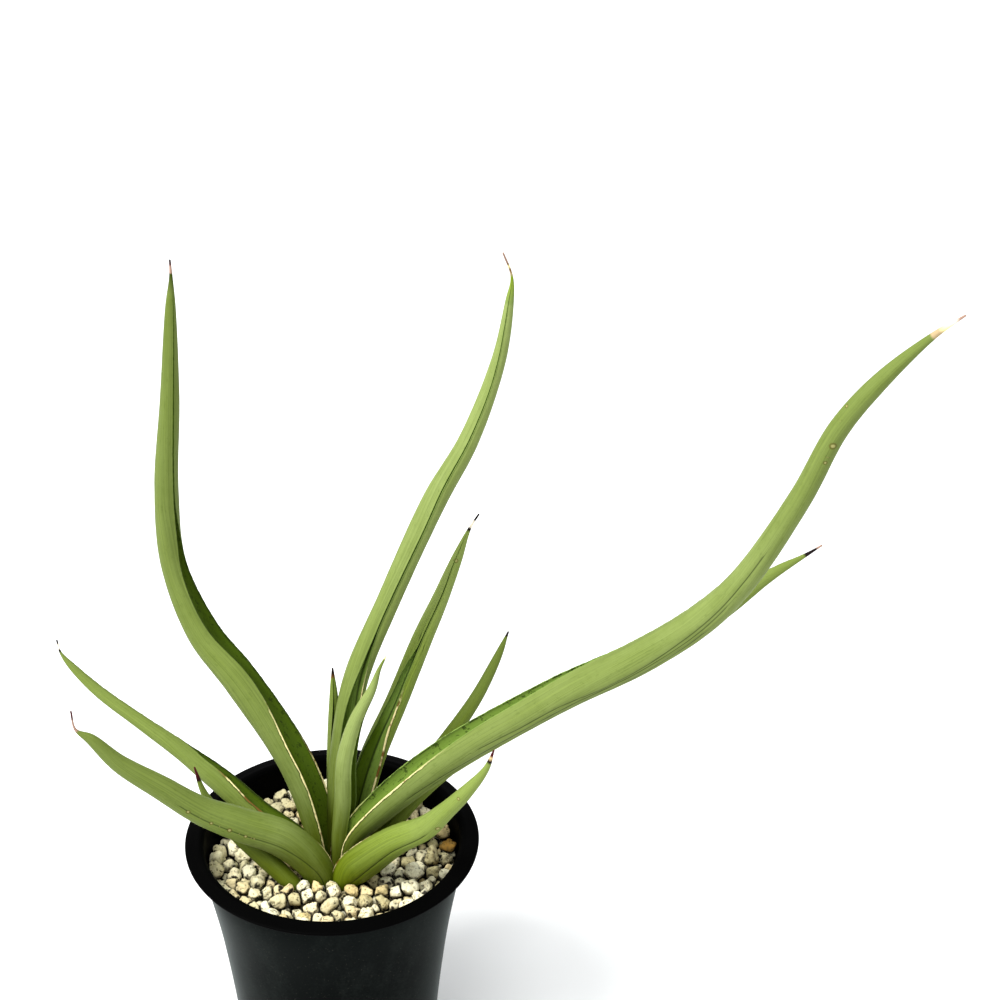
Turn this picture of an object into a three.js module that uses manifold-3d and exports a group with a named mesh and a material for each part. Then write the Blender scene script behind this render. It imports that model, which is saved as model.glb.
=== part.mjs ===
// A potted cylindrical snake plant: twelve channelled leaves on one rhizome, rooted in potting mix
// under a layer of pumice grit, in a black plastic pot with a flanged rim.
// Millimetres, +Z up. The origin is the middle of the pot's underside.
import * as THREE from 'three';
import { mergeVertices } from 'three/addons/utils/BufferGeometryUtils.js';
import Module from 'manifold-3d';

const wasm = await Module();
wasm.setup();
const { degToRad: radians, lerp, smoothstep } = THREE.MathUtils;

// ---------- driving dimensions ----------
const GAP = 0.3; // clearance between pieces that touch

const RIM_RADIUS = 54;
const RIM_HEIGHT = 100; // height of the rim's outer edge; its crest stands a little higher
const FOOT_RADIUS = 36; // outside of the ring the pot stands on
const FOOT_RING = 5; // width of that ring
const WALL = 1.4;
const PAD_RADIUS = 12; // flat pad in the middle of the underside, level with the ring
const UNDERSIDE = 2; // height of the recess between the two, where the water runs out
const FLOOR_TOP = 4; // height of the inside floor
const DRAINS = 8;
const DRAIN_RADIUS = 3;
const DRAIN_RING = 21.5;
const POT_SIDES = 36;

const MIX_TOP = 79.7; // potting mix, up to the grit
const GRIT_FLOOR = 80; // underside of the pumice layer
const GRIT_BED = 85.5; // level the pumice grains stand in
const GRIT_CEILING = 95; // above them all
const SOIL_LINE = 88; // mean top of the grains: leaf heights are counted from here
const GRAIN_PITCH = 8.2; // larger than life, so that a few hundred faces cover the bed
const GRAIN_RADIUS = 4.1;
const GRAIN_JITTER = 0.08; // share of the pitch
const GRIT_SEED = 20;

const RHIZOME = { x: 1, y: 4, halfX: 16, halfY: 22, low: 64, top: MIX_TOP };
const ROOTS = 6;
const ROOT_RADIUS = 1.3;
const ROOT_DEPTH = 16; // height at which the deepest roots end
const ROOT_STAGGER = 5; // the others end this much higher, in turn

const LEAF_STEP = 10; // mean spacing of the sections along a leaf, closer near its tip
const LEAST_RINGS = 11;
const RING_BIAS = 0.8; // below 1 the sections crowd towards the tip
const OUTER_POINTS = 7; // points on the round outer side of a leaf section
const CHANNEL_POINTS = 3; // points inside its channel, between the two margins
const OPEN_GAPE = 80; // degrees from the middle of the channel to a margin, where it is widest
const SHUT_GAPE = 12; // the same where the leaf has rolled nearly into a cylinder, with a groove left
const OPEN_FLOOR = -0.32; // height of the channel's floor over the leaf's middle, in radii
const SHUT_FLOOR = 0.35;
const MARGIN_THICKNESS = 0.9;
const SHALLOW_RADIUS = 2.2; // leaves slimmer than this have a shallower channel

// Each leaf bends in an upright plane. heading is the way it leans, in degrees from +X towards +Y, and
// foot is where it passes the soil line. A station is [out along the heading, up, width across].
// turn and gape are pairs of [share of the length, degrees]: how far the channel is turned about the
// leaf, and how far it opens to each side of its middle. The list runs from the leaf that lies in
// front of its neighbours at the crown to the one that lies behind them all.
const LEAVES = [
  { name: 'leaf_front_right', heading: -25, foot: [7, -9],
    turn: [[0, 0], [0.1, -8], [0.22, -52], [1, -62]],
    gape: [[0, 75], [0.2, 50], [0.6, 12], [1, 12]],
    stations: [[-4, -12, 8], [-2, 1, 11.8], [5, 10, 13.1], [19, 25, 10.8], [31, 35, 8.8], [39, 45, 6.6],
      [47, 56, 5.1], [55, 69, 2.4], [58, 78, 0.8]] },
  { name: 'leaf_low_left', heading: 192, foot: [-4, -8],
    turn: [[0, 30], [0.12, 36], [0.3, 58], [1, 70]],
    gape: [[0, 45], [0.3, 36], [0.6, 12], [1, 12]],
    stations: [[-1, -12, 8], [2, 6, 12.5], [14, 21, 13.4], [29, 30, 12.4], [43, 39, 10.3], [56, 51, 8.7],
      [70, 64, 6.5], [79, 76, 3.9], [84, 81, 1], [85, 89, 0.8]] },
  { name: 'leaf_long_right', heading: -12, foot: [5, 2],
    turn: [[0, 20], [0.15, 18], [0.32, 4], [0.5, -28], [0.8, -45], [1, -50]],
    gape: [[0, 60], [0.15, 43], [0.38, 24], [0.5, 12], [1, 12]],
    stations: [[-1, -12, 7.5], [2, 11, 9.6], [13, 27, 11.7], [36, 52, 13.2], [79, 88, 12.7], [107, 108, 11.9],
      [128, 127, 10.9], [141, 144, 9.4], [159, 180, 7.9], [170, 208, 7.1], [182, 227, 5.9], [198, 246, 2.3],
      [207, 254, 0.8]] },
  { name: 'leaf_centre_short', heading: 20, foot: [2, 6],
    turn: [[0, 128], [1, 122]],
    gape: [[0, 40], [0.5, 25], [0.85, 12], [1, 12]],
    stations: [[0, -12, 6], [1, 7, 7.4], [3, 25, 8.1], [4, 43, 7.3], [8.3, 60, 5.2], [14.5, 72, 3.2],
      [17.4, 80, 1.5], [20, 85, 0.8]] },
  { name: 'leaf_low_hooked', heading: 168, foot: [-12, -13],
    turn: [[0, 60], [1, 66]],
    gape: [[0, 50], [0.4, 32], [0.8, 12], [1, 12]],
    stations: [[-7, -12, 5.5], [-1, -3, 6], [5, 4, 6.9], [16, 15, 6.9], [27, 26, 5.1], [34, 38, 2.5],
      [37, 49, 0.8]] },
  { name: 'leaf_long_left', heading: 152, foot: [-3, 9],
    turn: [[0, 2], [0.2, 2], [0.32, 16], [0.45, 4], [0.55, 0], [0.64, -20], [0.8, -36], [1, -22]],
    gape: [[0, 67], [0.2, 54], [0.33, 32], [0.45, 38], [0.65, 12], [1, 12]],
    stations: [[-1, -12, 8], [2, 10, 12.6], [12, 37, 13.2], [34, 66, 13.1], [49, 82, 12.1], [60, 108, 9.4],
      [61, 140, 8.7], [57, 178, 6.9], [54, 216, 3.6], [53, 228, 1.2], [53, 234, 0.8]] },
  { name: 'leaf_upper_left', heading: 158, foot: [-9, 4],
    turn: [[0, 5], [0.3, 5], [0.47, 16], [0.62, 52], [1, 55]],
    gape: [[0, 60], [0.3, 41], [0.45, 26], [0.58, 12], [1, 12]],
    stations: [[-2, -12, 6.5], [2, 5, 8.1], [20, 15, 9.3], [36, 26, 9.1], [51, 35, 6.8], [68, 44, 5.2],
      [84, 53, 4.3], [95, 62, 2.6], [99, 67, 0.9], [100, 72, 0.8]] },
  { name: 'leaf_mid_right', heading: 45, foot: [8, 13],
    turn: [[0, 30], [0.32, 29], [0.46, 21], [0.54, 21], [0.66, 36], [0.78, 38], [0.88, 27], [1, 25]],
    gape: [[0, 75], [0.3, 68], [0.42, 38], [0.55, 24], [0.66, 12], [1, 12]],
    stations: [[-3, -12, 7], [0, 11, 9.6], [9, 34, 9.6], [22.4, 54, 8.3], [35.6, 75, 7.6], [44.8, 88, 6.2],
      [53.7, 102, 4.1], [60.3, 112, 1.2], [65, 116, 0.8]] },
  { name: 'leaf_long_centre', heading: 40, foot: [0, 13],
    turn: [[0, 60], [0.33, 67], [0.43, 52], [0.56, 60], [0.68, 45], [0.78, 48], [0.88, 35], [1, 34]],
    gape: [[0, 45], [0.25, 40], [0.42, 12], [1, 12]],
    stations: [[-1, -12, 7], [2, 3, 9.7], [5, 36, 9.9], [12, 69, 9.3], [28, 97, 8.5], [50, 131, 8.9],
      [66, 150, 7.4], [80, 178, 5.3], [85, 200, 3.1], [86, 209, 1], [82, 220, 0.8]] },
  { name: 'leaf_thin_right', heading: 4, foot: [14, 4],
    turn: [[0, -20], [1, -50]],
    gape: [[0, 45], [0.4, 12], [1, 12]],
    stations: [[-3, -12, 5], [8, 15, 6.6], [24, 36, 6.9], [55, 60.5, 6.9], [98, 83.5, 6.8], [126, 104, 6.2],
      [143, 119, 4.3], [156, 127.5, 1.3], [161, 131, 0.8]] },
  { name: 'leaf_back_right', heading: 38, foot: [12, 10],
    turn: [[0, -80], [1, -90]],
    gape: [[0, 45], [0.6, 12], [1, 12]],
    stations: [[-2, -12, 5], [6, 10, 6.3], [25, 23, 6.3], [35, 30, 6], [51.3, 45, 4.9], [61.4, 59, 3.3],
      [67, 69, 0.8]] },
  { name: 'leaf_back_small', heading: 0, foot: [-2, 21],
    turn: [[0, 90], [1, 92]],
    gape: [[0, 35], [0.6, 20], [1, 12]],
    stations: [[0, -12, 3.5], [1, 14, 4.1], [2, 42, 3.9], [3, 60, 3.4], [3, 69, 1.8], [3, 74, 0.8]] },
];

// ---------- solids and meshes ----------
const toSolid = (geometry) => {
  const bare = new THREE.BufferGeometry();
  bare.setAttribute('position', geometry.getAttribute('position'));
  if (geometry.index) bare.setIndex(geometry.index);
  const merged = mergeVertices(bare, 1e-4);
  return new wasm.Manifold(new wasm.Mesh({
    numProp: 3,
    vertProperties: new Float32Array(merged.getAttribute('position').array),
    triVerts: new Uint32Array(merged.index.array),
  }));
};

const unite = (solids) => solids.reduce((whole, solid) => whole.add(solid));

// A cut can leave a loose scrap behind: the piece itself is the biggest.
const largestPiece = (solid) => solid.decompose()
  .reduce((best, piece) => (piece.volume() > best.volume() ? piece : best));

const matte = (color, roughness) => new THREE.MeshStandardMaterial({ color, roughness, metalness: 0 });

const toMesh = (name, solid, material) => {
  const { vertProperties, triVerts } = solid.getMesh();
  const geometry = new THREE.BufferGeometry();
  geometry.setAttribute('position', new THREE.BufferAttribute(new Float32Array(vertProperties), 3));
  geometry.setIndex(new THREE.BufferAttribute(new Uint32Array(triVerts), 1));
  geometry.computeVertexNormals();
  const mesh = new THREE.Mesh(geometry, material);
  mesh.name = name;
  return mesh;
};

// A solid turned about Z from an outline of [radius, height] points, which runs anticlockwise:
// outwards along the bottom, up the outside and back inwards along the top.
const turned = (outline, sides, stretchY = 1) => {
  const loop = [...outline, outline[0]].map(([radius, z]) => new THREE.Vector2(radius, z));
  const geometry = new THREE.LatheGeometry(loop, sides);
  geometry.rotateX(Math.PI / 2);
  geometry.scale(1, stretchY, 1);
  return toSolid(geometry);
};

// ---------- pot ----------
// The wall's outside, widening slowly from the foot to the rim.
const FLARE = new THREE.SplineCurve([
  new THREE.Vector2(FOOT_RADIUS, 0),
  new THREE.Vector2(38.4, 29),
  new THREE.Vector2(42.5, 62),
  new THREE.Vector2(47.2, 88),
  new THREE.Vector2(48.4, 97),
]).getPoints(6);

// The rim's rounded flange, from the wall's outside over the drooping edge and the crest to its inside.
const FLANGE = [[-5.4, -0.7], [-1.3, -0.7], [-0.3, -0.6], [0, -0.1], [-0.2, 0.4], [-1.5, 0.8], [-3.5, 1.2],
  [-5, 1.5], [-6.1, 1.2], [-6.9, 0.3]].map(([out, up]) => [RIM_RADIUS + out, RIM_HEIGHT + up]);

const wallRadius = (z) => {
  const above = Math.max(1, FLARE.findIndex((point) => point.y >= z));
  const [low, high] = [FLARE[above - 1], FLARE[above]];
  return lerp(low.x, high.x, (z - low.y) / (high.y - low.y));
};

const potSolid = () => {
  const outside = FLARE.map(({ x, y }) => [x, y]);
  const inside = FLARE.filter(({ y }) => y > FLOOR_TOP).reverse().map(({ x, y }) => [x - WALL, y]);
  const ringInside = FOOT_RADIUS - FOOT_RING;
  const outline = [
    [0, 0], [PAD_RADIUS, 0], [PAD_RADIUS, UNDERSIDE], [ringInside, UNDERSIDE], [ringInside, 0],
    ...outside, ...FLANGE, ...inside, [wallRadius(FLOOR_TOP) - WALL, FLOOR_TOP], [0, FLOOR_TOP],
  ];
  const drains = Array.from({ length: DRAINS }, (_, i) => {
    const angle = (i * 2 * Math.PI) / DRAINS;
    const hole = new THREE.CylinderGeometry(DRAIN_RADIUS, DRAIN_RADIUS, 3 * FLOOR_TOP, 12);
    hole.rotateX(Math.PI / 2);
    hole.translate(DRAIN_RING * Math.cos(angle), DRAIN_RING * Math.sin(angle), FLOOR_TOP);
    return toSolid(hole);
  });
  return turned(outline, POT_SIDES).subtract(unite(drains));
};

// What fills the pot between two heights, a gap inside its wall.
const potFilling = (low, high) => {
  const levels = [low, ...FLARE.map(({ y }) => y).filter((y) => y > low + 1 && y < high - 1), high];
  const side = levels.map((z) => [wallRadius(z) - WALL - GAP, z]);
  return turned([[0, low], ...side, [0, high]], POT_SIDES);
};

// ---------- leaves ----------
// A value that changes along a leaf, from pairs of [share of the length, value].
const varying = (pairs, share) => {
  const next = Math.max(1, pairs.findIndex(([at]) => at >= share));
  const [[from, start], [to, end]] = [pairs[next - 1], pairs[next]];
  return lerp(start, end, smoothstep(share, from, to));
};

// One section in the leaf's own plane: x across the leaf, y towards the side that the channel opens on.
// grow pushes the outline outwards, for the hole that a leaf stands in.
const leafSection = (width, gape, grow) => {
  const radius = width / 2;
  const margin = radians(180 - gape);
  const shut = (OPEN_GAPE - gape) / (OPEN_GAPE - SHUT_GAPE);
  const edge = Math.min(MARGIN_THICKNESS, 0.28 * radius) * lerp(1, 0.4, shut);
  const mouth = radius * Math.sin(margin) - edge;
  const marginHeight = -radius * Math.cos(margin);
  const floorHeight = radius * lerp(OPEN_FLOOR, SHUT_FLOOR, shut);
  const depth = (marginHeight - floorHeight) * Math.min(1, radius / SHALLOW_RADIUS);
  const points = [];
  for (let i = 0; i < OUTER_POINTS; i += 1) {
    const angle = lerp(-margin, margin, i / (OUTER_POINTS - 1));
    points.push([(radius + grow) * Math.sin(angle), -(radius + grow) * Math.cos(angle)]);
  }
  for (let i = 0; i < CHANNEL_POINTS + 2; i += 1) {
    const angle = (i * Math.PI) / (CHANNEL_POINTS + 1);
    const half = Math.max(mouth - grow, mouth / 4);
    points.push([half * Math.cos(angle), marginHeight - depth * Math.sin(angle) + grow]);
  }
  return points;
};

// An end ring laid out flat, in its own plane.
const flattened = (ring) => {
  const middle = ring.reduce((sum, corner) => sum.add(corner), new THREE.Vector3()).divideScalar(ring.length);
  const [first, third] = [ring[0].clone().sub(middle), ring[3].clone().sub(middle)];
  const axisX = first.clone().normalize();
  const axisY = first.clone().cross(third).normalize().cross(axisX);
  return ring.map((corner) => {
    const offset = corner.clone().sub(middle);
    return new THREE.Vector2(offset.dot(axisX), offset.dot(axisY));
  });
};

// A closed skin over a row of rings that all have the same number of corners.
const skinned = (rings) => {
  const count = rings[0].length;
  const last = (rings.length - 1) * count;
  const index = [];
  for (let row = 0; row < last; row += count) {
    for (let corner = 0; corner < count; corner += 1) {
      const [a, b] = [row + corner, row + ((corner + 1) % count)];
      index.push(a, a + count, b, b, a + count, b + count);
    }
  }
  const cap = (ring) => THREE.ShapeUtils.triangulateShape(flattened(ring), []);
  cap(rings[0]).forEach(([a, b, c]) => index.push(a, b, c));
  cap(rings.at(-1)).forEach(([a, b, c]) => index.push(last + c, last + b, last + a));
  const geometry = new THREE.BufferGeometry().setFromPoints(rings.flat());
  geometry.setIndex(index);
  return geometry;
};

const leafSolid = ({ heading, foot, turn, gape, stations }, grow = 0) => {
  const path = new THREE.CatmullRomCurve3(stations.map((station) => new THREE.Vector3(...station)));
  const rings = Math.max(LEAST_RINGS, Math.round(path.getLength() / LEAF_STEP));
  const lean = new THREE.Vector3(Math.cos(radians(heading)), Math.sin(radians(heading)), 0);
  const up = new THREE.Vector3(0, 0, 1);
  const sections = [];
  for (let ring = 0; ring <= rings; ring += 1) {
    const share = (ring / rings) ** RING_BIAS;
    const at = path.getPointAt(share);
    const slope = path.getTangentAt(share).setZ(0).normalize();
    const along = lean.clone().multiplyScalar(slope.x).addScaledVector(up, slope.y);
    const inward = lean.clone().multiplyScalar(-slope.y).addScaledVector(up, slope.x);
    const channelWay = inward.clone().applyAxisAngle(along, radians(varying(turn, share)));
    const marginWay = along.clone().cross(channelWay);
    const endShift = grow * ((ring === rings) - (ring === 0));
    const centre = new THREE.Vector3(foot[0], foot[1], SOIL_LINE)
      .addScaledVector(lean, at.x).addScaledVector(up, at.y).addScaledVector(along, endShift);
    sections.push(leafSection(at.z, varying(gape, share), grow).map(([x, y]) => (
      centre.clone().addScaledVector(marginWay, x).addScaledVector(channelWay, y))));
  }
  return toSolid(skinned(sections));
};

// ---------- rhizome ----------
// A stubby crown with a flat top, in which the leaf bases stand, and wiry roots that run down the pot.
const rhizomeSolid = (grow = 0) => {
  const { x, y, halfX, halfY, low, top } = RHIZOME;
  const middle = (low + top) / 2;
  const outline = [[0, low - grow], [0.72, low + 1.5 - grow], [1, middle - 1], [0.96, middle + 4],
    [0.86, top + grow], [0, top + grow]].map(([share, z]) => [share * (halfX + grow), z]);
  const crown = turned(outline, 20, halfY / halfX).translate([x, y, 0]);
  const corners = Array.from({ length: 5 }, (_, i) => radians(72 * i)).map((angle) => (
    new THREE.Vector2(Math.cos(angle), Math.sin(angle)).multiplyScalar(ROOT_RADIUS + grow)));
  const roots = Array.from({ length: ROOTS }, (_, i) => {
    const angle = radians(20 + (360 * i) / ROOTS);
    const end = ROOT_DEPTH + ROOT_STAGGER * (i % 3) - grow;
    const route = [[9, 70], [19, 58], [25, 42], [27, end]].map(([out, z]) => (
      new THREE.Vector3(x + out * Math.cos(angle), y / 2 + out * Math.sin(angle), z)));
    const extrudePath = new THREE.CatmullRomCurve3(route);
    return toSolid(new THREE.ExtrudeGeometry(new THREE.Shape(corners), {
      steps: 6, bevelEnabled: false, extrudePath,
    }));
  });
  return unite([crown, ...roots]);
};

// ---------- pumice grit ----------
const seededRandom = (seed) => {
  let state = seed;
  return () => {
    state = (Math.imul(state, 1664525) + 1013904223) >>> 0;
    return state / 2 ** 32;
  };
};

// Broken grains on a staggered grid, each turned and stretched its own way, sunk into one bed.
const gritSolid = () => {
  const random = seededRandom(GRIT_SEED);
  const within = (low, high) => lerp(low, high, random());
  const rows = Math.ceil(RIM_RADIUS / GRAIN_PITCH);
  const reach = wallRadius(SOIL_LINE) - WALL - 0.4 * GRAIN_RADIUS;
  const grains = [];
  for (let row = -rows; row <= rows; row += 1) {
    for (let column = -rows; column <= rows; column += 1) {
      const x = (column + (row % 2) / 2 + within(-GRAIN_JITTER, GRAIN_JITTER)) * GRAIN_PITCH;
      const y = (row * Math.sin(Math.PI / 3) + within(-GRAIN_JITTER, GRAIN_JITTER)) * GRAIN_PITCH;
      const grain = new THREE.IcosahedronGeometry(GRAIN_RADIUS, 0);
      grain.scale(within(0.85, 1.15), within(0.85, 1.15), within(0.7, 0.95));
      grain.rotateX(within(0, Math.PI));
      grain.rotateZ(within(0, Math.PI));
      grain.translate(x, y, GRIT_BED + within(-0.6, 0.9));
      if (Math.hypot(x, y) < reach) grains.push(toSolid(grain));
    }
  }
  const layer = unite([potFilling(GRIT_FLOOR, GRIT_BED), ...grains]);
  return layer.intersect(potFilling(GRIT_FLOOR, GRIT_CEILING));
};

// ---------- the plant in its pot ----------
const leafHoles = unite(LEAVES.map((leaf) => leafSolid(leaf, GAP)));
const mixSolid = potFilling(FLOOR_TOP + GAP, MIX_TOP).subtract(leafHoles).subtract(rhizomeSolid(GAP));

const plant = new THREE.Group();
plant.name = 'potted_snake_plant';
plant.add(toMesh('pot', potSolid(), matte(0x1b1c1d, 0.45)));
plant.add(toMesh('potting_mix', largestPiece(mixSolid), matte(0x3a2a1e, 0.95)));
plant.add(toMesh('pumice_grit', largestPiece(gritSolid().subtract(leafHoles)), matte(0xd9d0bd, 0.95)));
plant.add(toMesh('rhizome', largestPiece(rhizomeSolid().subtract(leafHoles)), matte(0xb08a5a, 0.8)));

// Where leaves meet at the crown, the one behind gives way to those in front of it.
const inFront = [];
LEAVES.forEach((leaf) => {
  const shape = inFront.reduce((rest, other) => rest.subtract(other), leafSolid(leaf));
  plant.add(toMesh(leaf.name, largestPiece(shape), matte(0x9fae74, 0.5)));
  inFront.push(leafSolid(leaf, GAP));
});

export default plant;
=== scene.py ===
# %% [markdown]
# # A potted cylindrical snake plant
#
# The real thing is twelve stiff, succulent leaves on one rhizome, in a black plastic pot that is
# topped with pumice grit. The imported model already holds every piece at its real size. This lesson
# dresses it: each leaf gets a smooth channelled skin with its margins, furrows, scars and dry tip,
# the grit becomes separate broken grains that really lie on each other, and the pot gets a round,
# softly worn wall. Nothing is moved or resized. Lengths are written in millimetres, because that is
# how the plant was measured, and are multiplied by MM on their way into Blender.

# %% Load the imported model
import math

import bmesh
import bpy
import numpy as np
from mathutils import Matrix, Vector


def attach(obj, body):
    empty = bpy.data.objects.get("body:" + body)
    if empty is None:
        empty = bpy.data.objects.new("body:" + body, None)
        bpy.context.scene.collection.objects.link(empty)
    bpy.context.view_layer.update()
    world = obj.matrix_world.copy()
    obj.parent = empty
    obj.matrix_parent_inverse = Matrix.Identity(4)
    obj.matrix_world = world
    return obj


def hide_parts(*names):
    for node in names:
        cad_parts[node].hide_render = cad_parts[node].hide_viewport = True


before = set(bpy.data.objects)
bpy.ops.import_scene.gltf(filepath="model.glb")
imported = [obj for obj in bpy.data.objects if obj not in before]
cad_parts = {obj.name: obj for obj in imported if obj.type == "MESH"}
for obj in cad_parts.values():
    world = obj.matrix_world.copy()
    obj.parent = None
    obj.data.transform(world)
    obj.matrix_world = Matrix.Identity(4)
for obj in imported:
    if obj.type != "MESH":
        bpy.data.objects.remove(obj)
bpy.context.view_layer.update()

MM = 0.001
scene = bpy.context.scene
print("nodes:", sorted(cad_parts))

# %% [markdown]
# ## A small kit for meshes and finishes
#
# Every piece here is a net of points that is worked out in numpy, so one function turns arrays into
# a Blender object. Numbers that change over the skin, such as the distance to a margin, are stored on
# the points as attributes, and the material reads them back. The alternative is to paint an image,
# but an image needs unwrapping and a fixed resolution, while a distance stays sharp at any size.

# %% Meshes from arrays
def keep_on_points(mesh, attributes):
    """Stores numbers or vectors on the points of a mesh, for its finish to read."""
    for label, values in attributes.items():
        kind, slot = ("FLOAT_VECTOR", "vector") if values.ndim == 2 else ("FLOAT", "value")
        attribute = mesh.attributes.new(label, kind, "POINT")
        attribute.data.foreach_set(slot, np.ascontiguousarray(values, np.float32).ravel())


def piece_from(name, corners, faces, attributes=None):
    """A smooth-shaded object from corners in millimetres and faces that all have as many sides."""
    mesh = bpy.data.meshes.new(name)
    mesh.vertices.add(len(corners))
    mesh.vertices.foreach_set("co", np.ascontiguousarray(corners * MM, np.float32).ravel())
    mesh.loops.add(faces.size)
    mesh.loops.foreach_set("vertex_index", faces.astype(np.int32).ravel())
    mesh.polygons.add(len(faces))
    mesh.polygons.foreach_set("loop_start", np.arange(0, faces.size, faces.shape[1], dtype=np.int32))
    mesh.polygons.foreach_set("use_smooth", np.ones(len(faces), bool))
    mesh.update(calc_edges=True)
    keep_on_points(mesh, attributes or {})
    piece = bpy.data.objects.new(name, mesh)
    scene.collection.objects.link(piece)
    return piece


def net_faces(rows, columns):
    """Quads between neighbouring points of a net whose last column joins its first."""
    row, column = np.indices((rows - 1, columns)).reshape(2, -1)
    beside = (column + 1) % columns
    return np.stack([row * columns + column, row * columns + beside,
                     (row + 1) * columns + beside, (row + 1) * columns + column], axis=1)


def dress(piece, material):
    """Gives a piece one finish all over."""
    piece.data.materials.clear()
    piece.data.materials.append(material)


def declare(piece, node):
    """The piece stands for a CAD node, whose solid it hides, and rides on the one body there is."""
    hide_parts(node)
    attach(piece, "root")


# %% [markdown]
# A finish is easier to read as a sum than as a drawing of nodes. `Wire` wraps one socket and knows
# how to add, subtract and multiply, and `Finish.node` makes any other node. Colours never pass
# through the sums, because a Math node turns a colour grey: they go through Mix nodes, one coat over
# the other, as paint does.

# %% Finishes from expressions
class Wire:
    """One socket of a finish that Python sums can use."""

    def __init__(self, finish, socket):
        self.finish = finish
        self.socket = socket

    def maths(self, operation, *others, flipped=False):
        values = [self, *others]
        if flipped:
            values.reverse()
        return self.finish.node("ShaderNodeMath", {"operation": operation}, dict(enumerate(values)))

    def __add__(self, other):
        return self.maths("ADD", other)

    def __sub__(self, other):
        return self.maths("SUBTRACT", other)

    def __rsub__(self, other):
        return self.maths("SUBTRACT", other, flipped=True)

    def __mul__(self, other):
        return self.maths("MULTIPLY", other)

    def __truediv__(self, other):
        return self.maths("DIVIDE", other)

    def __abs__(self):
        return self.maths("ABSOLUTE")

    __radd__ = __add__
    __rmul__ = __mul__


class Finish:
    """A material that is built node by node."""

    def __init__(self, name):
        self.material = bpy.data.materials.new(name)
        self.material.use_nodes = True
        self.tree = self.material.node_tree
        self.tree.nodes.clear()

    def node(self, kind, settings=None, sockets=None, output=0):
        """Adds a node, sets it up, feeds its sockets and gives back one of its outputs."""
        node = self.tree.nodes.new(kind)
        for name, value in (settings or {}).items():
            if name == "stops":
                self.fill_ramp(node.color_ramp, value)
            else:
                setattr(node, name, value)
        for key, value in (sockets or {}).items():
            if isinstance(value, Wire):
                self.tree.links.new(value.socket, node.inputs[key])
            else:
                node.inputs[key].default_value = value
        return None if output is None else Wire(self, node.outputs[output])

    def fill_ramp(self, ramp, stops):
        while len(ramp.elements) < len(stops):
            ramp.elements.new(1.0)
        for element, (place, colour) in zip(ramp.elements, stops):
            element.position = place
            element.color = colour

    def place(self):
        """Where a point is, in metres from the middle of the pot's foot."""
        return self.node("ShaderNodeTexCoord", output="Object")

    def stored(self, name, output="Fac"):
        """A number, or with output="Vector" a vector, that the mesh carries on its points."""
        return self.node("ShaderNodeAttribute", {"attribute_name": name}, output=output)

    def axis(self, vector, number):
        """One number of a vector: 0, 1 or 2."""
        return self.node("ShaderNodeSeparateXYZ", {}, {0: vector}, output=number)

    def stretched(self, vector, scale):
        return self.node("ShaderNodeVectorMath", {"operation": "MULTIPLY"},
                         {0: vector, 1: scale}, output="Vector")

    def size(self, vector):
        return self.node("ShaderNodeVectorMath", {"operation": "LENGTH"}, {0: vector}, output="Value")

    def noise(self, vector, scale=1.0, detail=2.0, roughness=0.5):
        """Soft noise from about 0 to 1, with `scale` bumps to a unit of the vector."""
        return self.node("ShaderNodeTexNoise", {}, {
            "Vector": vector, "Scale": scale, "Detail": detail, "Roughness": roughness})

    def ease(self, value, start, end, low=0.0, high=1.0):
        """Eases from low to high as the value goes from start to end."""
        return self.node("ShaderNodeMapRange", {"interpolation_type": "SMOOTHSTEP"}, {
            "Value": value, "From Min": start, "From Max": end, "To Min": low, "To Max": high})

    def coats(self, colour, *coats):
        """A colour under coats of (mask, colour): each covers what is under it where its mask is 1."""
        for mask, coat in coats:
            colour = self.node("ShaderNodeMix", {"data_type": "RGBA"},
                               {0: mask, 6: colour, 7: coat}, output=2)
        return colour

    def surface(self, colour, roughness, relief=None, relief_depth=0.0, **constants):
        """A shader whose relief is in millimetres of height once multiplied by relief_depth."""
        sockets = {"Base Color": colour, "Roughness": roughness}
        if relief is not None:
            sockets["Normal"] = self.node("ShaderNodeBump", {}, {
                "Height": relief, "Distance": relief_depth * MM, "Strength": 1.0})
        return self.node("ShaderNodeBsdfPrincipled", {}, {**sockets, **constants})

    def end(self, shader):
        self.node("ShaderNodeOutputMaterial", {}, {"Surface": shader}, output=None)
        return self.material


def paint(*screen):
    """A colour as a screen shows it, 0 to 255, as the linear colour that a shader wants."""
    linear = [((c / 255 + 0.055) / 1.055) ** 2.4 if c > 10 else c / 255 / 12.92 for c in screen]
    return (*linear, 1.0)


def mixed(share, under, over):
    """One colour between two, for a share that is the same all over a piece."""
    return tuple(low + (high - low) * min(share, 1) for low, high in zip(under, over))


# %% [markdown]
# ## Camera, light and floor
#
# A long lens from a little above flattens the plant, so that the far leaves look as large as the near
# ones. The studio is a white sweep: a large pale floor, an even pale world, one big soft lamp far to
# the left, which lays a faint shadow to the right of the pot, and a weaker one overhead that opens
# it. Smaller or nearer lamps would draw hard shadows of the leaves on each other.

# %% Camera
CAMERA_PLACE = (61.7, -864.9, 796.2)
CAMERA_PITCH = 57.61  # degrees from straight down
LENS, SENSOR = 108.0, 36.0

camera = bpy.data.objects.new("camera", bpy.data.cameras.new("camera"))
camera.location = Vector(CAMERA_PLACE) * MM
camera.rotation_euler = (math.radians(CAMERA_PITCH), 0.0, 0.0)
camera.data.lens = LENS
camera.data.sensor_width = SENSOR
scene.collection.objects.link(camera)
scene.camera = camera
scene.view_settings.view_transform = "Standard"
print("camera height:", CAMERA_PLACE[2], "mm, lens:", LENS, "mm")

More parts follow.
